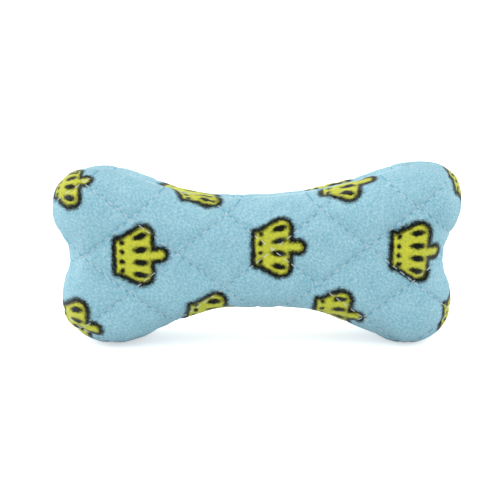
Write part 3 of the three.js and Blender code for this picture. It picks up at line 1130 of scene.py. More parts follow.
@dataclass(frozen=True)
class PlasticFinish:
    """Blown or moulded plastic with faint flow marks and handling dulling."""

    name: str
    base: Colour
    roughness: float
    cloud_scale: float = 160.0
    grain_scale: float = 2600.0
    dulling: float = 0.9
    roughness_range: float = 0.25
    grain: float = 0.4
    relief: float = 0.06 * MM

    def build(self) -> bpy.types.Material:
        """Makes the material.

        Returns:
            The material, duller and rougher in clouds.
        """
        surface = Surface(self.name)
        place = surface.place()
        clouds = surface.noise(place, self.cloud_scale, 3.0)
        grain = surface.noise(place, self.grain_scale, 2.0)
        dull = tuple(channel * self.dulling for channel in self.base[:3]) + (1.0,)
        surface.feed("Base Color", surface.mix(clouds, dull, self.base))
        surface.feed("Roughness", self.roughness + (clouds - 0.5) * self.roughness_range)
        surface.raise_by(grain * self.grain + clouds, self.relief, 0.5)
        return surface.material


# Geometry Nodes


@dataclass
class GroupTree:
    """A Geometry Nodes group with named inputs, run once over an object to give a plain mesh."""

    name: str
    graph: Graph = field(init=False)

    def __post_init__(self) -> None:
        """Starts the group with its geometry in and out."""
        group = bpy.data.node_groups.new(self.name, "GeometryNodeTree")
        group.interface.new_socket("Geometry", in_out="INPUT", socket_type="NodeSocketGeometry")
        group.interface.new_socket("Geometry", in_out="OUTPUT", socket_type="NodeSocketGeometry")
        self.graph = Graph(group)

    def want(self, name: str, kind: str) -> None:
        """Adds a named input of a socket kind."""
        self.graph.tree.interface.new_socket(name, in_out="INPUT", socket_type=kind)

    def close(self, geometry: Wire, material: Wire) -> None:
        """Ends the tree: instances made real, dressed and sent out.

        Args:
            geometry: What the tree has made.
            material: What to dress it with.
        """
        real = self.graph.add("GeometryNodeRealizeInstances", {}, {"Geometry": geometry})
        dressed = self.graph.add(
            "GeometryNodeSetMaterial",
            {},
            {"Geometry": self.graph.out(real, 0), "Material": material},
        )
        self.graph.add("NodeGroupOutput", {}, {0: self.graph.out(dressed, 0)})

    def run(self, made: bpy.types.Object, values: dict[str, Any], name: str) -> bpy.types.Object:
        """Runs the group over an object, which it removes.

        Args:
            made: What the group starts from.
            values: The inputs, by name.
            name: The new piece's name.

        Returns:
            The piece, a plain mesh.
        """
        modifier = made.modifiers.new(self.name, "NODES")
        modifier.node_group = self.graph.tree
        for item in self.graph.tree.interface.items_tree:
            if item.in_out == "INPUT" and item.name in values:
                modifier[item.identifier] = values[item.name]
        mesh = evaluated(made)
        mesh.name = name
        made.modifiers.remove(modifier)
        bpy.data.objects.remove(made)
        piece = bpy.data.objects.new(name, mesh)
        bpy.context.scene.collection.objects.link(piece)
        return piece


def stitch_tree() -> GroupTree:
    """The tree that lays a stitch at every pitch along routes on the cloth.

    Returns:
        The group. Its routes are meshes of edges with an "up" attribute.
    """
    tree = GroupTree("machine_stitches")
    for name in ("Pitch", "Stitch Length", "Lift", "Dive", "Thread Radius", "Sway"):
        tree.want(name, "NodeSocketFloat")
    tree.want("Seed", "NodeSocketInt")
    tree.want("Material", "NodeSocketMaterial")
    graph = tree.graph
    given = graph.add("NodeGroupInput")

    def value(name: str) -> Wire:
        """One of the group's inputs."""
        return graph.out(given, name)

    curves = graph.add("GeometryNodeMeshToCurve", {}, {"Mesh": value("Geometry")})
    spaced = graph.add(
        "GeometryNodeResampleCurve",
        {"mode": "LENGTH"},
        {"Curve": graph.out(curves, 0), "Length": value("Pitch")},
    )
    half = value("Stitch Length") * 0.5
    ends = [
        graph.add("ShaderNodeCombineXYZ", {}, {"X": reach, "Z": value("Dive") * -1.0})
        for reach in (half * -1.0, half)
    ]
    top = graph.add("ShaderNodeCombineXYZ", {}, {"Z": value("Lift") * 2.0 + value("Dive")})
    bow = graph.add(
        "GeometryNodeCurveQuadraticBezier",
        {},
        {
            "Resolution": 6,
            "Start": graph.out(ends[0], 0),
            "Middle": graph.out(top, 0),
            "End": graph.out(ends[1], 0),
        },
    )
    ring = graph.add(
        "GeometryNodeCurvePrimitiveCircle",
        {"mode": "RADIUS"},
        {"Resolution": 6, "Radius": value("Thread Radius")},
    )
    stitch = graph.add(
        "GeometryNodeCurveToMesh",
        {},
        {"Curve": graph.out(bow, 0), "Profile Curve": graph.out(ring, 0), "Fill Caps": True},
    )
    tangent = graph.add("GeometryNodeInputTangent")
    along = graph.add(
        "FunctionNodeAlignRotationToVector", {"axis": "X"}, {"Vector": graph.out(tangent, 0)}
    )
    up = graph.add(
        "GeometryNodeInputNamedAttribute", {"data_type": "FLOAT_VECTOR"}, {"Name": "up"}
    )
    square = graph.add(
        "FunctionNodeAlignRotationToVector",
        {"axis": "Z", "pivot_axis": "X"},
        {"Rotation": graph.out(along, 0), "Vector": graph.out(up, 0)},
    )
    sway = value("Sway")
    swung = graph.add(
        "FunctionNodeRandomValue",
        {"data_type": "FLOAT"},
        {2: sway * -1.0, 3: sway, "Seed": value("Seed")},
    )
    turned = graph.add("ShaderNodeCombineXYZ", {}, {"Z": graph.out(swung, 1)})
    rotation = graph.add("FunctionNodeEulerToRotation", {}, {0: graph.out(turned, 0)})
    posed = graph.add(
        "FunctionNodeRotateRotation",
        {"rotation_space": "LOCAL"},
        {"Rotation": graph.out(square, 0), "Rotate By": graph.out(rotation, 0)},
    )
    placed = graph.add(
        "GeometryNodeInstanceOnPoints",
        {},
        {
            "Points": graph.out(spaced, 0),
            "Instance": graph.out(stitch, 0),
            "Rotation": graph.out(posed, 0),
        },
    )
    tree.close(graph.out(placed, 0), value("Material"))
    return tree


def strand_tree() -> GroupTree:
    """The tree that lays one continuous thread along routes.

    Returns:
        The group. Its routes are meshes of edges.
    """
    tree = GroupTree("laid_thread")
    tree.want("Step", "NodeSocketFloat")
    tree.want("Thread Radius", "NodeSocketFloat")
    tree.want("Material", "NodeSocketMaterial")
    graph = tree.graph
    given = graph.add("NodeGroupInput")
    curves = graph.add("GeometryNodeMeshToCurve", {}, {"Mesh": graph.out(given, "Geometry")})
    spaced = graph.add(
        "GeometryNodeResampleCurve",
        {"mode": "LENGTH"},
        {"Curve": graph.out(curves, 0), "Length": graph.out(given, "Step")},
    )
    ring = graph.add(
        "GeometryNodeCurvePrimitiveCircle",
        {"mode": "RADIUS"},
        {"Resolution": 8, "Radius": graph.out(given, "Thread Radius")},
    )
    tube = graph.add(
        "GeometryNodeCurveToMesh",
        {},
        {"Curve": graph.out(spaced, 0), "Profile Curve": graph.out(ring, 0), "Fill Caps": True},
    )
    tree.close(graph.out(tube, 0), graph.out(given, "Material"))
    return tree


@dataclass
class Routes:
    """Lines for thread to follow, each a run of places with the outward direction at each."""

    lines: list[tuple[Array, Array]] = field(default_factory=list)

    def add(self, places: Iterable[Vector], ups: Iterable[Vector]) -> None:
        """Adds one line."""
        self.lines.append((np.array(list(places)), np.array(list(ups))))

    def wire(self, name: str) -> bpy.types.Object:
        """Makes an object of the lines.

        Args:
            name: The object's name.

        Returns:
            The object, of loose edges, with the directions as its "up" attribute.
        """
        points = np.concatenate([places for places, _ in self.lines])
        ups = np.concatenate([directions for _, directions in self.lines])
        edges, start = [], 0
        for places, _ in self.lines:
            edges += [(start + k, start + k + 1) for k in range(len(places) - 1)]
            start += len(places)
        mesh = bpy.data.meshes.new(name)
        mesh.from_pydata(points.tolist(), edges, [])
        held = mesh.attributes.new("up", "FLOAT_VECTOR", "POINT")
        held.data.foreach_set("vector", ups.astype(np.float32).ravel())
        made = bpy.data.objects.new(name, mesh)
        bpy.context.scene.collection.objects.link(made)
        return made


# The toy


@dataclass
class Stuffing:
    """The pressure that swells the sewn cover between its quilting lines."""

    pressure: float = 4.0
    frames: int = 20
    cap: float = 1.0 * MM
    slack: float = 0.012
    pin_reach: float = 2.2 * MM
    quality: int = 5
    mass: float = 0.05
    stretch: float = 15.0
    shear: float = 5.0
    bending: float = 3.0

    def swell(
        self,
        net: PanelNet,
        panels: dict[Side, Array],
        quilting: dict[Side, Quilting],
    ) -> dict[Side, Array]:
        """Runs the cloth over the whole cover, held at its seam and its sewn lines.

        Args:
            net: The panels' net.
            panels: Each panel's points.
            quilting: Each panel's quilting.

        Returns:
            Each panel's points, none of them further from its start than the cap.
        """
        count, rim = len(net.plan), set(net.rim.tolist())
        beyond = [k for k in range(count) if k not in rim]
        back_index = np.arange(count)
        back_index[beyond] = count + np.arange(len(beyond))
        front, back = panels[Side.FRONT], panels[Side.BACK][beyond]
        points = np.concatenate([front, back])
        faces = np.concatenate([net.triangles, back_index[net.triangles][:, ::-1]])
        made = Part(points, list(faces)).piece("cover_under_pressure", [])

        pins = made.vertex_groups.new(name="held")
        off_front = quilting[Side.FRONT].off_line(front[:, [0, 2]])
        off_back = quilting[Side.BACK].off_line(back[:, [0, 2]])
        off = np.concatenate([off_front, off_back])
        weight = np.clip(1 - off / self.pin_reach, 0, 1)
        weight[list(rim)] = 1.0
        weight = np.where(points[:, 2] < self.cap, 1.0, weight)
        for k in np.flatnonzero(weight > 0):
            pins.add([int(k)], float(weight[k]), "REPLACE")

        self._set_cloth(made.modifiers.new("Cloth", "CLOTH"), pins.name)
        scene = bpy.context.scene
        for frame in range(1, self.frames + 1):
            scene.frame_set(frame)
        swollen = numbers(evaluated(made).vertices, "co", 3).astype(float)
        scene.frame_set(1)
        bpy.data.objects.remove(made)

        moved = swollen - points
        far = np.maximum(np.linalg.norm(moved, axis=1), 1e-9)
        log.info("cloth moved by %.2f mm at most, %.2f on average", far.max() / MM, far.mean() / MM)
        points = points + moved * (self.cap * np.tanh(far / self.cap) / far)[:, None]
        return {Side.FRONT: points[:count], Side.BACK: points[back_index]}

    def _set_cloth(self, modifier: bpy.types.Modifier, pins: str) -> None:
        """Gives the cloth its stiffness and the pressure under it.

        Args:
            modifier: The cloth modifier.
            pins: The vertex group that is held.
        """
        settings = modifier.settings
        settings.quality = self.quality
        settings.mass = self.mass
        settings.use_pressure = True
        settings.uniform_pressure_force = self.pressure
        settings.tension_stiffness = self.stretch
        settings.compression_stiffness = self.stretch
        settings.shear_stiffness = self.shear
        settings.bending_stiffness = self.bending
        settings.shrink_min = -self.slack
        settings.effector_weights.gravity = 0
        settings.vertex_group_mass = pins
        modifier.collision_settings.use_collision = False


@dataclass
class QuiltedPanel:
    """One fleece panel: a swollen, quilted skin with its thickness and its turned-in edge.

    The lips are the bands of painted highlight on the pile beside the seam, the front's and the
    back's, each by how far it starts and ends from the seam's plane. Each of the ripples is its
    height, its length and its seed.
    """

    side: Side
    quilting: Quilting
    crowns: CrownPrint
    net: PanelNet
    thickness: float = 1.6 * MM
    turned_edge: float = 7 * MM
    seam_gap: float = 0.15 * MM
    lips: tuple[tuple[float, float], ...] = ((2.4 * MM, 4.6 * MM), (0.2 * MM, 1.2 * MM))
    crease: float = 1.2 * MM
    crease_reach: float = 3.2 * MM
    crease_power: float = 1.5
    even_share: float = 2.0
    pucker: float = 0.6 * MM
    pucker_pitch: float = 7 * MM
    pucker_share: float = 3.0
    pucker_seed: float = 6.0
    ripples: tuple[tuple[float, float, float], ...] = (
        (0.35 * MM, 13 * MM, 4.0),
        (0.12 * MM, 3.5 * MM, 9.0),
    )
    groove: float = 0.48 * MM
    groove_width: float = 0.7 * MM
    subdivisions: int = 2
    fill: float = 0.85
    skin: BVHTree = field(init=False, repr=False)

    def build(self, start: Array) -> bpy.types.Object:
        """Makes the panel, and keeps its skin for the threads to lie on.

        Args:
            start: The net's points on the swollen form.

        Returns:
            The piece.
        """
        faces = self.net.triangles if self.side is Side.FRONT else self.net.triangles[:, ::-1]
        rough = Part(start, list(faces)).piece("rough_panel", [])
        held = rough.data.attributes.new("cloth_place", "FLOAT_VECTOR", "POINT")
        cloth = np.column_stack([self.net.cloth, np.zeros(len(self.net.cloth))])
        held.data.foreach_set("vector", cloth.astype(np.float32).ravel())
        finer = rough.modifiers.new("Subdivision", "SUBSURF")
        finer.levels = finer.render_levels = self.subdivisions
        fine = evaluated(rough)
        points = numbers(fine.vertices, "co", 3).astype(float)
        normals = numbers(fine.vertices, "normal", 3).astype(float)
        cloth = numbers(fine.attributes["cloth_place"].data, "vector", 3)[:, :2]
        quads = numbers(fine.loops, "vertex_index", 1, np.int32).reshape(-1, 4)
        bpy.data.objects.remove(rough)

        points = self._sewn(points, normals)
        part = self._closed(points, quads, cloth, start)
        self.skin = BVHTree.FromPolygons(points.tolist(), quads.tolist())
        part.even = part.points
        part.points = self.net.form.settled(part.even)
        word = self.side.word
        lip = self.lips[0 if self.side is Side.FRONT else 1]
        outside = FleeceFinish("printed_fleece_" + word, self.quilting, self.crowns, lip=lip)
        inside = FleeceFinish("fleece_wrong_side_" + word, self.quilting, None)
        piece = part.piece(word + "_fleece_panel", [outside.build(), inside.build()])
        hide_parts(word + "_fleece")
        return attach(piece, "bone")

    def _sewn(self, points: Array, normals: Array) -> Array:
        """Draws the fine skin in along the sewn lines and the seam, and rests it on the ground.

        Args:
            points: The skin's points on the even form.
            normals: Their outward directions.

        Returns:
            The points, moved.
        """
        off = self.quilting.off_line(points[:, [0, 2]])
        clear = np.clip(np.abs(points[:, 1]) / (self.even_share * self.crease_reach), 0, 1)
        pull = self.groove * np.exp(-((off / self.groove_width) ** 2)) * clear
        sway = sum(height * lumps(points, size, seed) for height, size, seed in self.ripples)
        points = points + normals * (sway * clear - pull)[:, None]
        near = np.clip(1 - np.abs(points[:, 1]) / self.crease_reach, 0, 1) ** self.crease_power
        level = np.array([1, 0, 1])
        pucker = self.pucker * lumps(points * level, self.pucker_pitch, self.pucker_seed)
        reach = np.clip(1 - np.abs(points[:, 1]) / (self.pucker_share * self.crease_reach), 0, 1)
        outward = normals * level
        outward /= np.maximum(np.linalg.norm(outward, axis=1), 1e-9)[:, None]
        points = points + outward * (pucker * reach - self.crease * near)[:, None]
        points[:, 1] = self.side.value * np.maximum(self.side.value * points[:, 1], self.seam_gap)
        points[:, 2] = np.maximum(points[:, 2], 0.0)
        return points

    def _closed(self, points: Array, quads: Array, cloth: Array, start: Array) -> Part:
        """Gives the skin its wrong side and its turned-in edge, as one closed shell.

        Args:
            points: The fine skin's points.
            quads: Its faces.
            cloth: Its points' places on the flat cloth.
            start: The net's points, which the skin was made from.

        Returns:
            The shell, with the skin's points and faces first.
        """
        net, way, rim = self.net, self.side.value, self.net.rim
        loop = self._fine_rim(quads, points, start[rim])
        inner = net.shaped(self.side, self.quilting, self.thickness)
        inner[:, 1] = way * np.maximum(way * inner[:, 1], self.seam_gap + self.thickness)
        inner[:, 2] = np.maximum(inner[:, 2], self.thickness)
        seam = net.plan[rim] - net.out[rim] * self.turned_edge
        beside_seam = np.full(len(rim), way * self.seam_gap)
        folded = np.stack([seam[:, 0], beside_seam, seam[:, 1]], axis=1)
        folded[:, 2] = np.maximum(folded[:, 2], self.thickness)
        back_in = folded + np.array([0, way * self.thickness, 0])
        base = len(points)
        fold_at = base + len(net.plan)
        back_at = fold_at + len(rim)
        fold_loop = range(fold_at, fold_at + len(rim))
        back_loop = range(back_at, back_at + len(rim))
        faces = [tuple(quad) for quad in quads]
        outer_count = len(faces)
        steps = [
            bridged(loop, fold_loop),
            banded(fold_loop, back_loop),
            banded(back_loop, base + rim),
            [tuple(base + face[::-1]) for face in net.triangles],
        ]
        for step in steps:
            faces += step if self.side is Side.FRONT else [tuple(reversed(face)) for face in step]
        places = np.concatenate([points, inner, folded, back_in])
        flat = np.concatenate([cloth, net.cloth, net.cloth[rim], net.cloth[rim]])
        return Part(places, faces, flat, outer_count)

    def _fine_rim(self, quads: Array, points: Array, start: Array) -> list[int]:
        """Finds the fine skin's open edge.

        Args:
            quads: The skin's faces.
            points: Its points.
            start: The seam's points.

        Returns:
            The edge's points in the seam's order, from beside the seam's first point.
        """
        sides = np.concatenate([quads[:, [k, (k + 1) % 4]] for k in range(4)])
        known = set(map(tuple, sides.tolist()))
        follow = {a: b for a, b in known if (b, a) not in known}
        if self.side is Side.BACK:
            follow = {b: a for a, b in follow.items()}
        at = min(follow, key=lambda k: float(np.linalg.norm(points[k] - start[0])))
        loop = [at]
        while len(loop) < len(follow):
            loop.append(follow[loop[-1]])
        return loop


@dataclass
class InnerLayers:
    """A panel's wadding and backing cloth, which stop at the turned-in fleece."""

    side: Side
    quilting: Quilting
    net: PanelNet
    fleece: float = 1.6 * MM
    wadding: float = 2.6 * MM
    backing: float = 0.6 * MM
    gap: float = 0.3 * MM
    wadding_ruffle: float = 0.15 * MM
    backing_ruffle: float = 0.02 * MM
    ruffle_size: float = 5 * MM
    ruffle_seeds: tuple[float, float] = (2.0, 5.0)
    fill: float = 0.4

    def _between(self, near: float, far: float, quilting: Quilting | None, ruffle: float) -> Part:
        """Makes a closed layer between two depths under the skin.

        Args:
            near: The depth of its outer face.
            far: The depth of its inner face.
            quilting: What draws its outer face in, if anything does.
            ruffle: How far its faces ripple.

        Returns:
            The layer, with the net's triangles of its outer face first.
        """
        way = self.side.value
        outer = self.net.shaped(self.side, quilting, near)
        inner = self.net.shaped(self.side, None, far)
        stop = self.gap / 2 + self.fleece + self.gap
        for layer, seed in zip((outer, inner), self.ruffle_seeds):
            layer[:, 1] -= way * ruffle * (1 + lumps(layer, self.ruffle_size, seed))
            layer[:, 1] = way * np.maximum(way * layer[:, 1], stop)
        count, rim = len(outer), self.net.rim
        faces = [tuple(face) for face in self.net.triangles]
        faces += [tuple(count + face[::-1]) for face in self.net.triangles]
        faces += banded(rim, count + rim)
        if self.side is Side.BACK:
            faces = [tuple(reversed(face)) for face in faces]
        cloth = np.concatenate([self.net.cloth, self.net.cloth])
        return Part(self.net.form.settled(np.concatenate([outer, inner])), faces, cloth)

    def build(self, wadding: bpy.types.Material, backing: bpy.types.Material) -> list[bpy.types.Object]:
        """Makes the two layers.

        Args:
            wadding: The wadding's material.
            backing: The backing cloth's material.

        Returns:
            The pieces, each riding on the bone.
        """
        word = self.side.word
        under_fleece = self.fleece + self.gap
        under_wadding = under_fleece + self.wadding + self.gap
        end = under_wadding + self.backing
        wadded = (under_fleece, under_wadding - self.gap, self.quilting, self.wadding_ruffle)
        layer = self._between(*wadded).piece(word + "_wadding_layer", [wadding])
        backed = (under_wadding, end, None, self.backing_ruffle)
        cloth = self._between(*backed).piece(word + "_backing_sheet", [backing])
        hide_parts(word + "_wadding")
        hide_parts(word + "_backing_cloth")
        size = np.ptp(self.net.cloth, axis=0)
        outer_faces = len(self.net.triangles)
        area = float(np.sum(numbers(cloth.data.polygons, "area", 1)[:outer_faces]))
        for piece, slot in ((layer, "wadding"), (cloth, "backing_cloth")):
            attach(piece, "bone")
        return [layer, cloth]


@dataclass(frozen=True)
class Stitch:
    """One kind of machine stitch: its sizes, and how far it stands out, dips in and sways."""

    pitch: float
    length: float
    radius: float
    lift: float
    dive: float
    sway: float
    seed: int

    def inputs(self, material: bpy.types.Material) -> dict[str, Any]:
        """The stitch as inputs of the tree that lays it.

        Args:
            material: The thread's material.

        Returns:
            The inputs by name.
        """
        return {
            "Pitch": self.pitch,
            "Stitch Length": self.length,
            "Lift": self.lift,
            "Dive": self.dive,
            "Thread Radius": self.radius,
            "Sway": self.sway,
            "Seed": self.seed,
            "Material": material,
        }


@dataclass
class Sewing:
    """The threads that show: the quilting's, the machine seam's and the hand-closed gap's."""

    form: BoneForm
    panels: dict[Side, QuiltedPanel]
    stitches: GroupTree
    strand: GroupTree
    quilt_stitch: Stitch = Stitch(
        4.1 * MM, 3.5 * MM, 0.14 * MM, lift=0.14 * MM, dive=0.4 * MM, sway=math.radians(4), seed=11
    )
    seam_stitch: Stitch = Stitch(
        3.0 * MM, 2.7 * MM, 0.2 * MM, lift=0.1 * MM, dive=0.1 * MM, sway=math.radians(3), seed=5
    )
    end_inset: float = 3.5 * MM
    route_step: float = 0.5 * MM
    closing_length: float = 44 * MM
    closing_pitch: float = 3.2 * MM
    closing_reach: float = 1.6 * MM
    closing_radius: float = 0.22 * MM
    closing_step: float = 0.4 * MM
    closing_lift: float = 0.1 * MM
    closing_bow: float = 0.35 * MM
    closing_dip: float = 0.5 * MM

    def quilting(self, side: Side, material: bpy.types.Material) -> bpy.types.Object:
        """Makes the machine stitches along one panel's quilting lines.

        Args:
            side: The panel.
            material: The thread's material.

        Returns:
            The piece.
        """
        panel = self.panels[side]
        quilt, routes = panel.quilting, Routes()
        lines = self.form.upper_length / quilt.width + self.form.sewn_height / quilt.height
        span = math.ceil(lines)
        along = np.arange(-span, span, self.route_step / float(np.min(quilt.spacing)))[:, None]
        for k in range(-span, span + 1):
            for way, other in (quilt.sides, quilt.sides[::-1]):
                plan = np.array([quilt.x, quilt.z]) + along * way + k * other
                inside = self.form.inset(plan) > self.end_inset
                self._follow(panel, plan[inside], routes)
        wire = routes.wire("quilting_routes_" + side.word)
        values = self.quilt_stitch.inputs(material)
        piece = self.stitches.run(wire, values, side.word + "_quilting_stitches")
        return self._kept(piece, side.word + "_quilting_thread")

    def _follow(self, panel: QuiltedPanel, plan: Array, routes: Routes) -> None:
        """Drops a line of the front view onto a panel's skin.

        Args:
            panel: The panel.
            plan: The line's points, X and Z in each row.
            routes: What the line is added to, if it is longer than a stitch.
        """
        outward = Vector((0, panel.side.value, 0))
        places, ups = [], []
        for x, z in plan:
            start = Vector((x, panel.side.value * self.form.lobe_thickness, z))
            hit, normal, _, _ = panel.skin.ray_cast(start, -outward)
            if hit is None:
                continue
            places.append(hit)
            ups.append(normal if normal.dot(outward) > 0 else -normal)
        if len(places) > self.quilt_stitch.pitch / self.route_step:
            routes.add(self.form.settled(np.array(places)), ups)

    def _kept(self, piece: bpy.types.Object, node: str) -> bpy.types.Object:
        """Puts a thread in the place of its CAD node.

        Args:
            piece: The thread's piece.
            node: The CAD node.

        Returns:
            The piece, smooth-shaded and riding on the bone.
        """
        piece.data.polygons.foreach_set("use_smooth", np.ones(len(piece.data.polygons), bool))
        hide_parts(node)
        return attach(piece, "bone")

    def seam(self, material: bpy.types.Material) -> bpy.types.Object:
        """Makes the machine seam's stitches in the crease, all round but for the hand-closed gap.

        Args:
            material: The thread's material.

        Returns:
            The piece.
        """
        depth = self.panels[Side.FRONT].crease - self.seam_stitch.radius
        plan, out = [], []
        for arc in self.form.arcs:
            steps = max(3, round(arc.radius * arc.sweep / self.route_step))
            at, way = arc.at(np.linspace(0, 1, steps, endpoint=False), depth)
            plan.append(at)
            out.append(way)
        plan, out = np.concatenate(plan), np.concatenate(out)
        middle = self.form.sewn_height / 2 - self.form.rest_flat
        gap = (plan[:, 1] < middle) & (np.abs(plan[:, 0]) < self.closing_length / 2)
        start = int(np.flatnonzero(gap & ~np.roll(gap, -1))[0]) + 1
        order = np.roll(np.arange(len(plan)), -start)
        order = order[~gap[order]]
        routes = Routes()
        plan, out, level = plan[order], out[order], np.zeros(len(order))
        places = self.form.settled(np.stack([plan[:, 0], level, plan[:, 1]], axis=1))
        places[:, 2] = np.maximum(places[:, 2], 2 * self.seam_stitch.radius)
        routes.add(places, np.stack([out[:, 0], level, out[:, 1]], axis=1))
        values = self.seam_stitch.inputs(material)
        piece = self.stitches.run(routes.wire("seam_route"), values, "seam_stitches")
        return self._kept(piece, "seam_thread")

    def closing(self, material: bpy.types.Material) -> bpy.types.Object:
        """Makes the hand stitches that cross the closed gap from panel to panel.

        Args:
            material: The thread's material.

        Returns:
            The piece, one thread.
        """
        waist, routes = self.form.under_waist, Routes()
        count = math.floor(self.closing_length / (self.closing_pitch / 2))
        places, ups = [], []
        reach = waist.radius + self.closing_lift
        for k in range(4 * count + 1):
            x = (k / 4 - count / 2) * self.closing_pitch / 2
            swing = math.cos(math.pi * k / 4)
            up = Vector((waist.x - x, 0, -math.sqrt(reach**2 - x**2))).normalized()
            at = Vector((waist.x, 0, waist.z)) - up * reach
            out = self.closing_bow * (1 - abs(swing)) - self.closing_dip * abs(swing) ** 6
            places.append(at + up * out + Vector((0, -swing * self.closing_reach, 0)))
            ups.append(up)
        routes.add(self.form.settled(np.array(places)), ups)
        values = {
            "Step": self.closing_step,
            "Thread Radius": self.closing_radius,
            "Material": material,
        }
        piece = self.strand.run(routes.wire("closing_route"), values, "closing_stitches")
        return self._kept(piece, "closing_thread")


@dataclass
class Filling:
    """Loose fibre round the squeaker, with a tufted surface.

    Each of the tufts is its share of the surface's roughness, its size and its seed.
    """

    form: BoneForm
    voxel: float = 1.5 * MM
    weld: float = 0.01 * MM
    smoothing: int = 4
    tuft: float = 0.7 * MM
    tufts: tuple[tuple[float, float, float], ...] = ((0.6, 6 * MM, 1.0), (0.4, 2.5 * MM, 7.0))
    fill: float = 0.8

    def build(self, node: bpy.types.Object, material: bpy.types.Material) -> bpy.types.Object:
        """Makes the filling from its CAD solid's form.

        Args:
            node: The CAD node.
            material: The fibre's material.

        Returns:
            The piece.
        """
        mesh = node.data.copy()
        joined = bmesh.new()
        joined.from_mesh(mesh)
        bmesh.ops.remove_doubles(joined, verts=joined.verts, dist=self.weld)
        joined.to_mesh(mesh)
        joined.free()
        rough = bpy.data.objects.new("rough_filling", mesh)
        bpy.context.scene.collection.objects.link(rough)
        remesh = rough.modifiers.new("Remesh", "REMESH")
        remesh.mode = "VOXEL"
        remesh.voxel_size = self.voxel
        even = rough.modifiers.new("Smooth", "SMOOTH")
        even.iterations = self.smoothing
        fine = evaluated(rough)
        bpy.data.objects.remove(rough)
        points = numbers(fine.vertices, "co", 3).astype(float)
        normals = numbers(fine.vertices, "normal", 3).astype(float)
        tufts = sum(share * lumps(points, size, seed) for share, size, seed in self.tufts)
        points = points - normals * (self.tuft * (0.5 + 0.5 * tufts))[:, None]
        faces = [tuple(face.vertices) for face in fine.polygons]
        piece = Part(self.form.settled(points), faces).piece("loose_fibre_filling", [material])
        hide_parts("fibre_filling")
        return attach(piece, "bone")


@dataclass(frozen=True)
class Squeaker:
    """The plastics of the squeaker, whose bulb, plug and reed keep their CAD meshes."""

    bulb: PlasticFinish = PlasticFinish("blown_bulb", srgb(233, 236, 232), 0.4)
    plug: PlasticFinish = PlasticFinish("moulded_plug", srgb(216, 220, 218), 0.45)
    reed: PlasticFinish = PlasticFinish("reed_film", srgb(201, 210, 214), 0.3)

    def dress(self, nodes: dict[str, bpy.types.Object]) -> None:
        """Gives the squeaker's rigid CAD nodes their plastics.

        Args:
            nodes: The CAD nodes by name.
        """
        plug = self.plug.build()
        finishes = {
            "squeaker_bulb": self.bulb.build(),
            "squeaker_reed_seat": plug,
            "squeaker_reed_clamp": plug,
            "squeaker_reed": self.reed.build(),
        }
        for name, material in finishes.items():
            nodes[name].data.materials.clear()
            nodes[name].data.materials.append(material)
            log.info("%s: dressed", name)


# The studio


@dataclass(frozen=True)
class Viewpoint:
    """Where the camera stands, in metres and degrees, and how much of the toy's plane it takes in."""

    azimuth: float = -1.0
    elevation: float = 14.0
    reach: float = 0.48
    frame_width: float = 224.5 * MM
    target: tuple[float, float, float] = (-3.5 * MM, 0.0, 40.8 * MM)
    sensor_width: float = 36.0

    def build(self) -> bpy.types.Object:
        """Makes the camera and gives it to the scene.

        Returns:
            The camera.
        """
        data = bpy.data.cameras.new("camera")
        data.sensor_width = self.sensor_width
        data.lens = data.sensor_width * self.reach / self.frame_width
        camera = bpy.data.objects.new("camera", data)
        bpy.context.scene.collection.objects.link(camera)
        turn, tilt = math.radians(self.azimuth), math.radians(self.elevation)
        level = math.cos(tilt)
        back = Vector((math.sin(turn) * level, -math.cos(turn) * level, math.sin(tilt)))
        camera.location = Vector(self.target) + back * self.reach
        camera.rotation_mode = "QUATERNION"
        camera.rotation_quaternion = (-back).to_track_quat("-Z", "Y")
        data.clip_start, data.clip_end = 0.02, 50.0
        bpy.context.scene.camera = camera
        return camera


@dataclass(frozen=True)
class Lamp:
    """A soft square lamp that faces the toy."""

    name: str
    place: tuple[float, float, float]
    size: float
    power: float
    target: tuple[float, float, float] = (0.0, 0.0, 40 * MM)

    def build(self) -> None:
        """Makes the lamp."""
        data = bpy.data.lights.new(self.name, "AREA")
        data.size, data.energy = self.size, self.power
        lamp = bpy.data.objects.new(self.name, data)
        lamp.location = self.place
        lamp.rotation_mode = "QUATERNION"
        ahead = Vector(self.target) - Vector(self.place)
        lamp.rotation_quaternion = ahead.to_track_quat("-Z", "Y")
        bpy.context.scene.collection.objects.link(lamp)


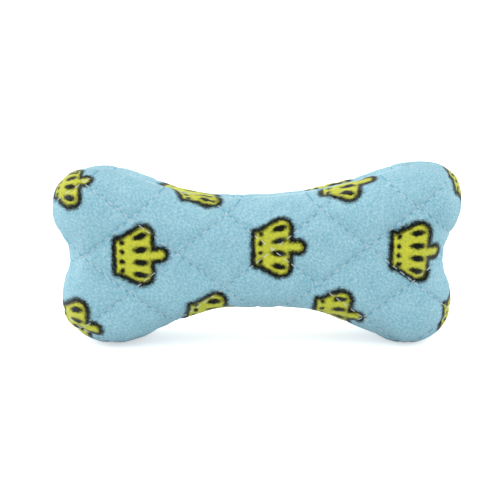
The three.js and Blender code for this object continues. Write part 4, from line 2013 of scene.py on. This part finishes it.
@dataclass(frozen=True)
class Studio:
    """A white sweep under soft overhead light."""

    lamps: tuple[Lamp, ...] = (
        Lamp("key", (-0.15, -0.35, 1.0), 0.9, 4.4),
        Lamp("left_rim", (-0.9, 0.35, 0.35), 0.6, 5.0),
        Lamp("right_rim", (0.9, 0.35, 0.35), 0.6, 3.6),
    )
    world_light: float = 1.05
    paper: Colour = srgb(238, 240, 241)
    floor_size: float = 60.0
    floor_lift: float = 0.5

    def build(self) -> None:
        """Makes the floor, the world and the lamps."""
        self._floor()
        self._world()
        for lamp in self.lamps:
            lamp.build()
        bpy.context.scene.view_settings.view_transform = "Standard"

    @staticmethod
    def _seen(graph: Graph) -> Wire:
        """Tells rays that show a surface from those that only light one.

        Args:
            graph: The world's or the floor's graph.

        Returns:
            1 for the camera's rays and for mirrored and transmitted ones, and 0 for others.
        """
        rays = graph.add("ShaderNodeLightPath")
        camera = graph.out(rays, "Is Camera Ray")
        glossy, through = graph.out(rays, "Is Glossy Ray"), graph.out(rays, "Is Transmission Ray")
        return camera.most(glossy).most(through)

    def _floor(self) -> None:
        """A plain pale floor that keeps the toy's shadow."""
        half = self.floor_size / 2
        corners = np.array([(-half, -half, 0), (half, -half, 0), (half, half, 0), (-half, half, 0)])
        material = bpy.data.materials.new("sweep")
        material.use_nodes = True
        graph = Graph(material.node_tree)
        graph.tree.nodes.clear()
        paper = graph.add("ShaderNodeBsdfDiffuse", {}, {"Color": self.paper})
        lift = self._seen(graph) * self.floor_lift
        glow = graph.add("ShaderNodeEmission", {}, {"Strength": lift})
        both = graph.add("ShaderNodeAddShader", {}, {0: graph.out(paper, 0), 1: graph.out(glow, 0)})
        graph.add("ShaderNodeOutputMaterial", {}, {"Surface": graph.out(both, 0)})
        floor = Part(corners, [(0, 1, 2, 3)]).piece("floor", [material])

    def _world(self) -> None:
        """White all round, a little dimmer as a light than as what the camera sees."""
        world = bpy.data.worlds.new("white_room")
        world.use_nodes = True
        graph = Graph(world.node_tree)
        graph.tree.nodes.clear()
        strength = self.world_light + self._seen(graph) * (1.0 - self.world_light)
        back = graph.add("ShaderNodeBackground", {}, {"Color": (1, 1, 1, 1), "Strength": strength})
        graph.add("ShaderNodeOutputWorld", {}, {"Surface": graph.out(back, 0)})
        bpy.context.scene.world = world


def report(*pieces: bpy.types.Object) -> None:
    """Logs each piece with its number of triangles.

    Args:
        pieces: The pieces.
    """
    for piece in pieces:
        count = sum(len(face.vertices) - 2 for face in piece.data.polygons)
        log.info("%s: %d triangles", piece.name, count)


def main() -> None:
    """Builds the toy's pieces in order, then the studio."""
    logging.basicConfig(level=logging.INFO, format="%(name)s: %(message)s")
    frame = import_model()
    form = BoneForm()
    net = PanelNet(form)
    quilting = {
        Side.FRONT: Quilting(6.1 * MM, 45.6 * MM, (1.5 * MM, 1.3 * MM), width=41.0 * MM),
        Side.BACK: Quilting(-9 * MM, 35 * MM),
    }
    crowns = {
        Side.FRONT: CrownPrint(8.3, 47.3),
        Side.BACK: CrownPrint(
            -28.0, 82.7, bow=9.8, bow_from=-45.0, bow_reach=35.0, turn=0.0, slip=0.0
        ),
    }
    shapes = {side: net.shaped(side, quilting[side]) for side in Side}
    shapes = Stuffing().swell(net, shapes, quilting)
    panels = {side: QuiltedPanel(side, quilting[side], crowns[side], net) for side in Side}
    for side, panel in panels.items():
        report(panel.build(shapes[side]))

    quilt_thread = ThreadFinish("clear_thread", srgb(238, 249, 253), 0.25, 0.8).build()
    seam_thread = ThreadFinish("seam_thread", srgb(150, 196, 210), 0.6).build()
    sewing = Sewing(form, panels, stitch_tree(), strand_tree())
    for side in Side:
        report(sewing.quilting(side, quilt_thread))
    report(sewing.seam(seam_thread), sewing.closing(seam_thread))

    wadding = FibreFinish("wadding_fibre").build()
    backing = BackingFinish("spot_bonded_backing").build()
    for side in Side:
        report(*InnerLayers(side, quilting[side], net).build(wadding, backing))
    filling = FibreFinish("filling_fibre", strand=1.1 * MM).build()
    report(Filling(form).build(frame["nodes"]["fibre_filling"], filling))
    Squeaker().dress(frame["nodes"])

    Viewpoint().build()
    Studio().build()


if __name__ == "__main__":
    main()
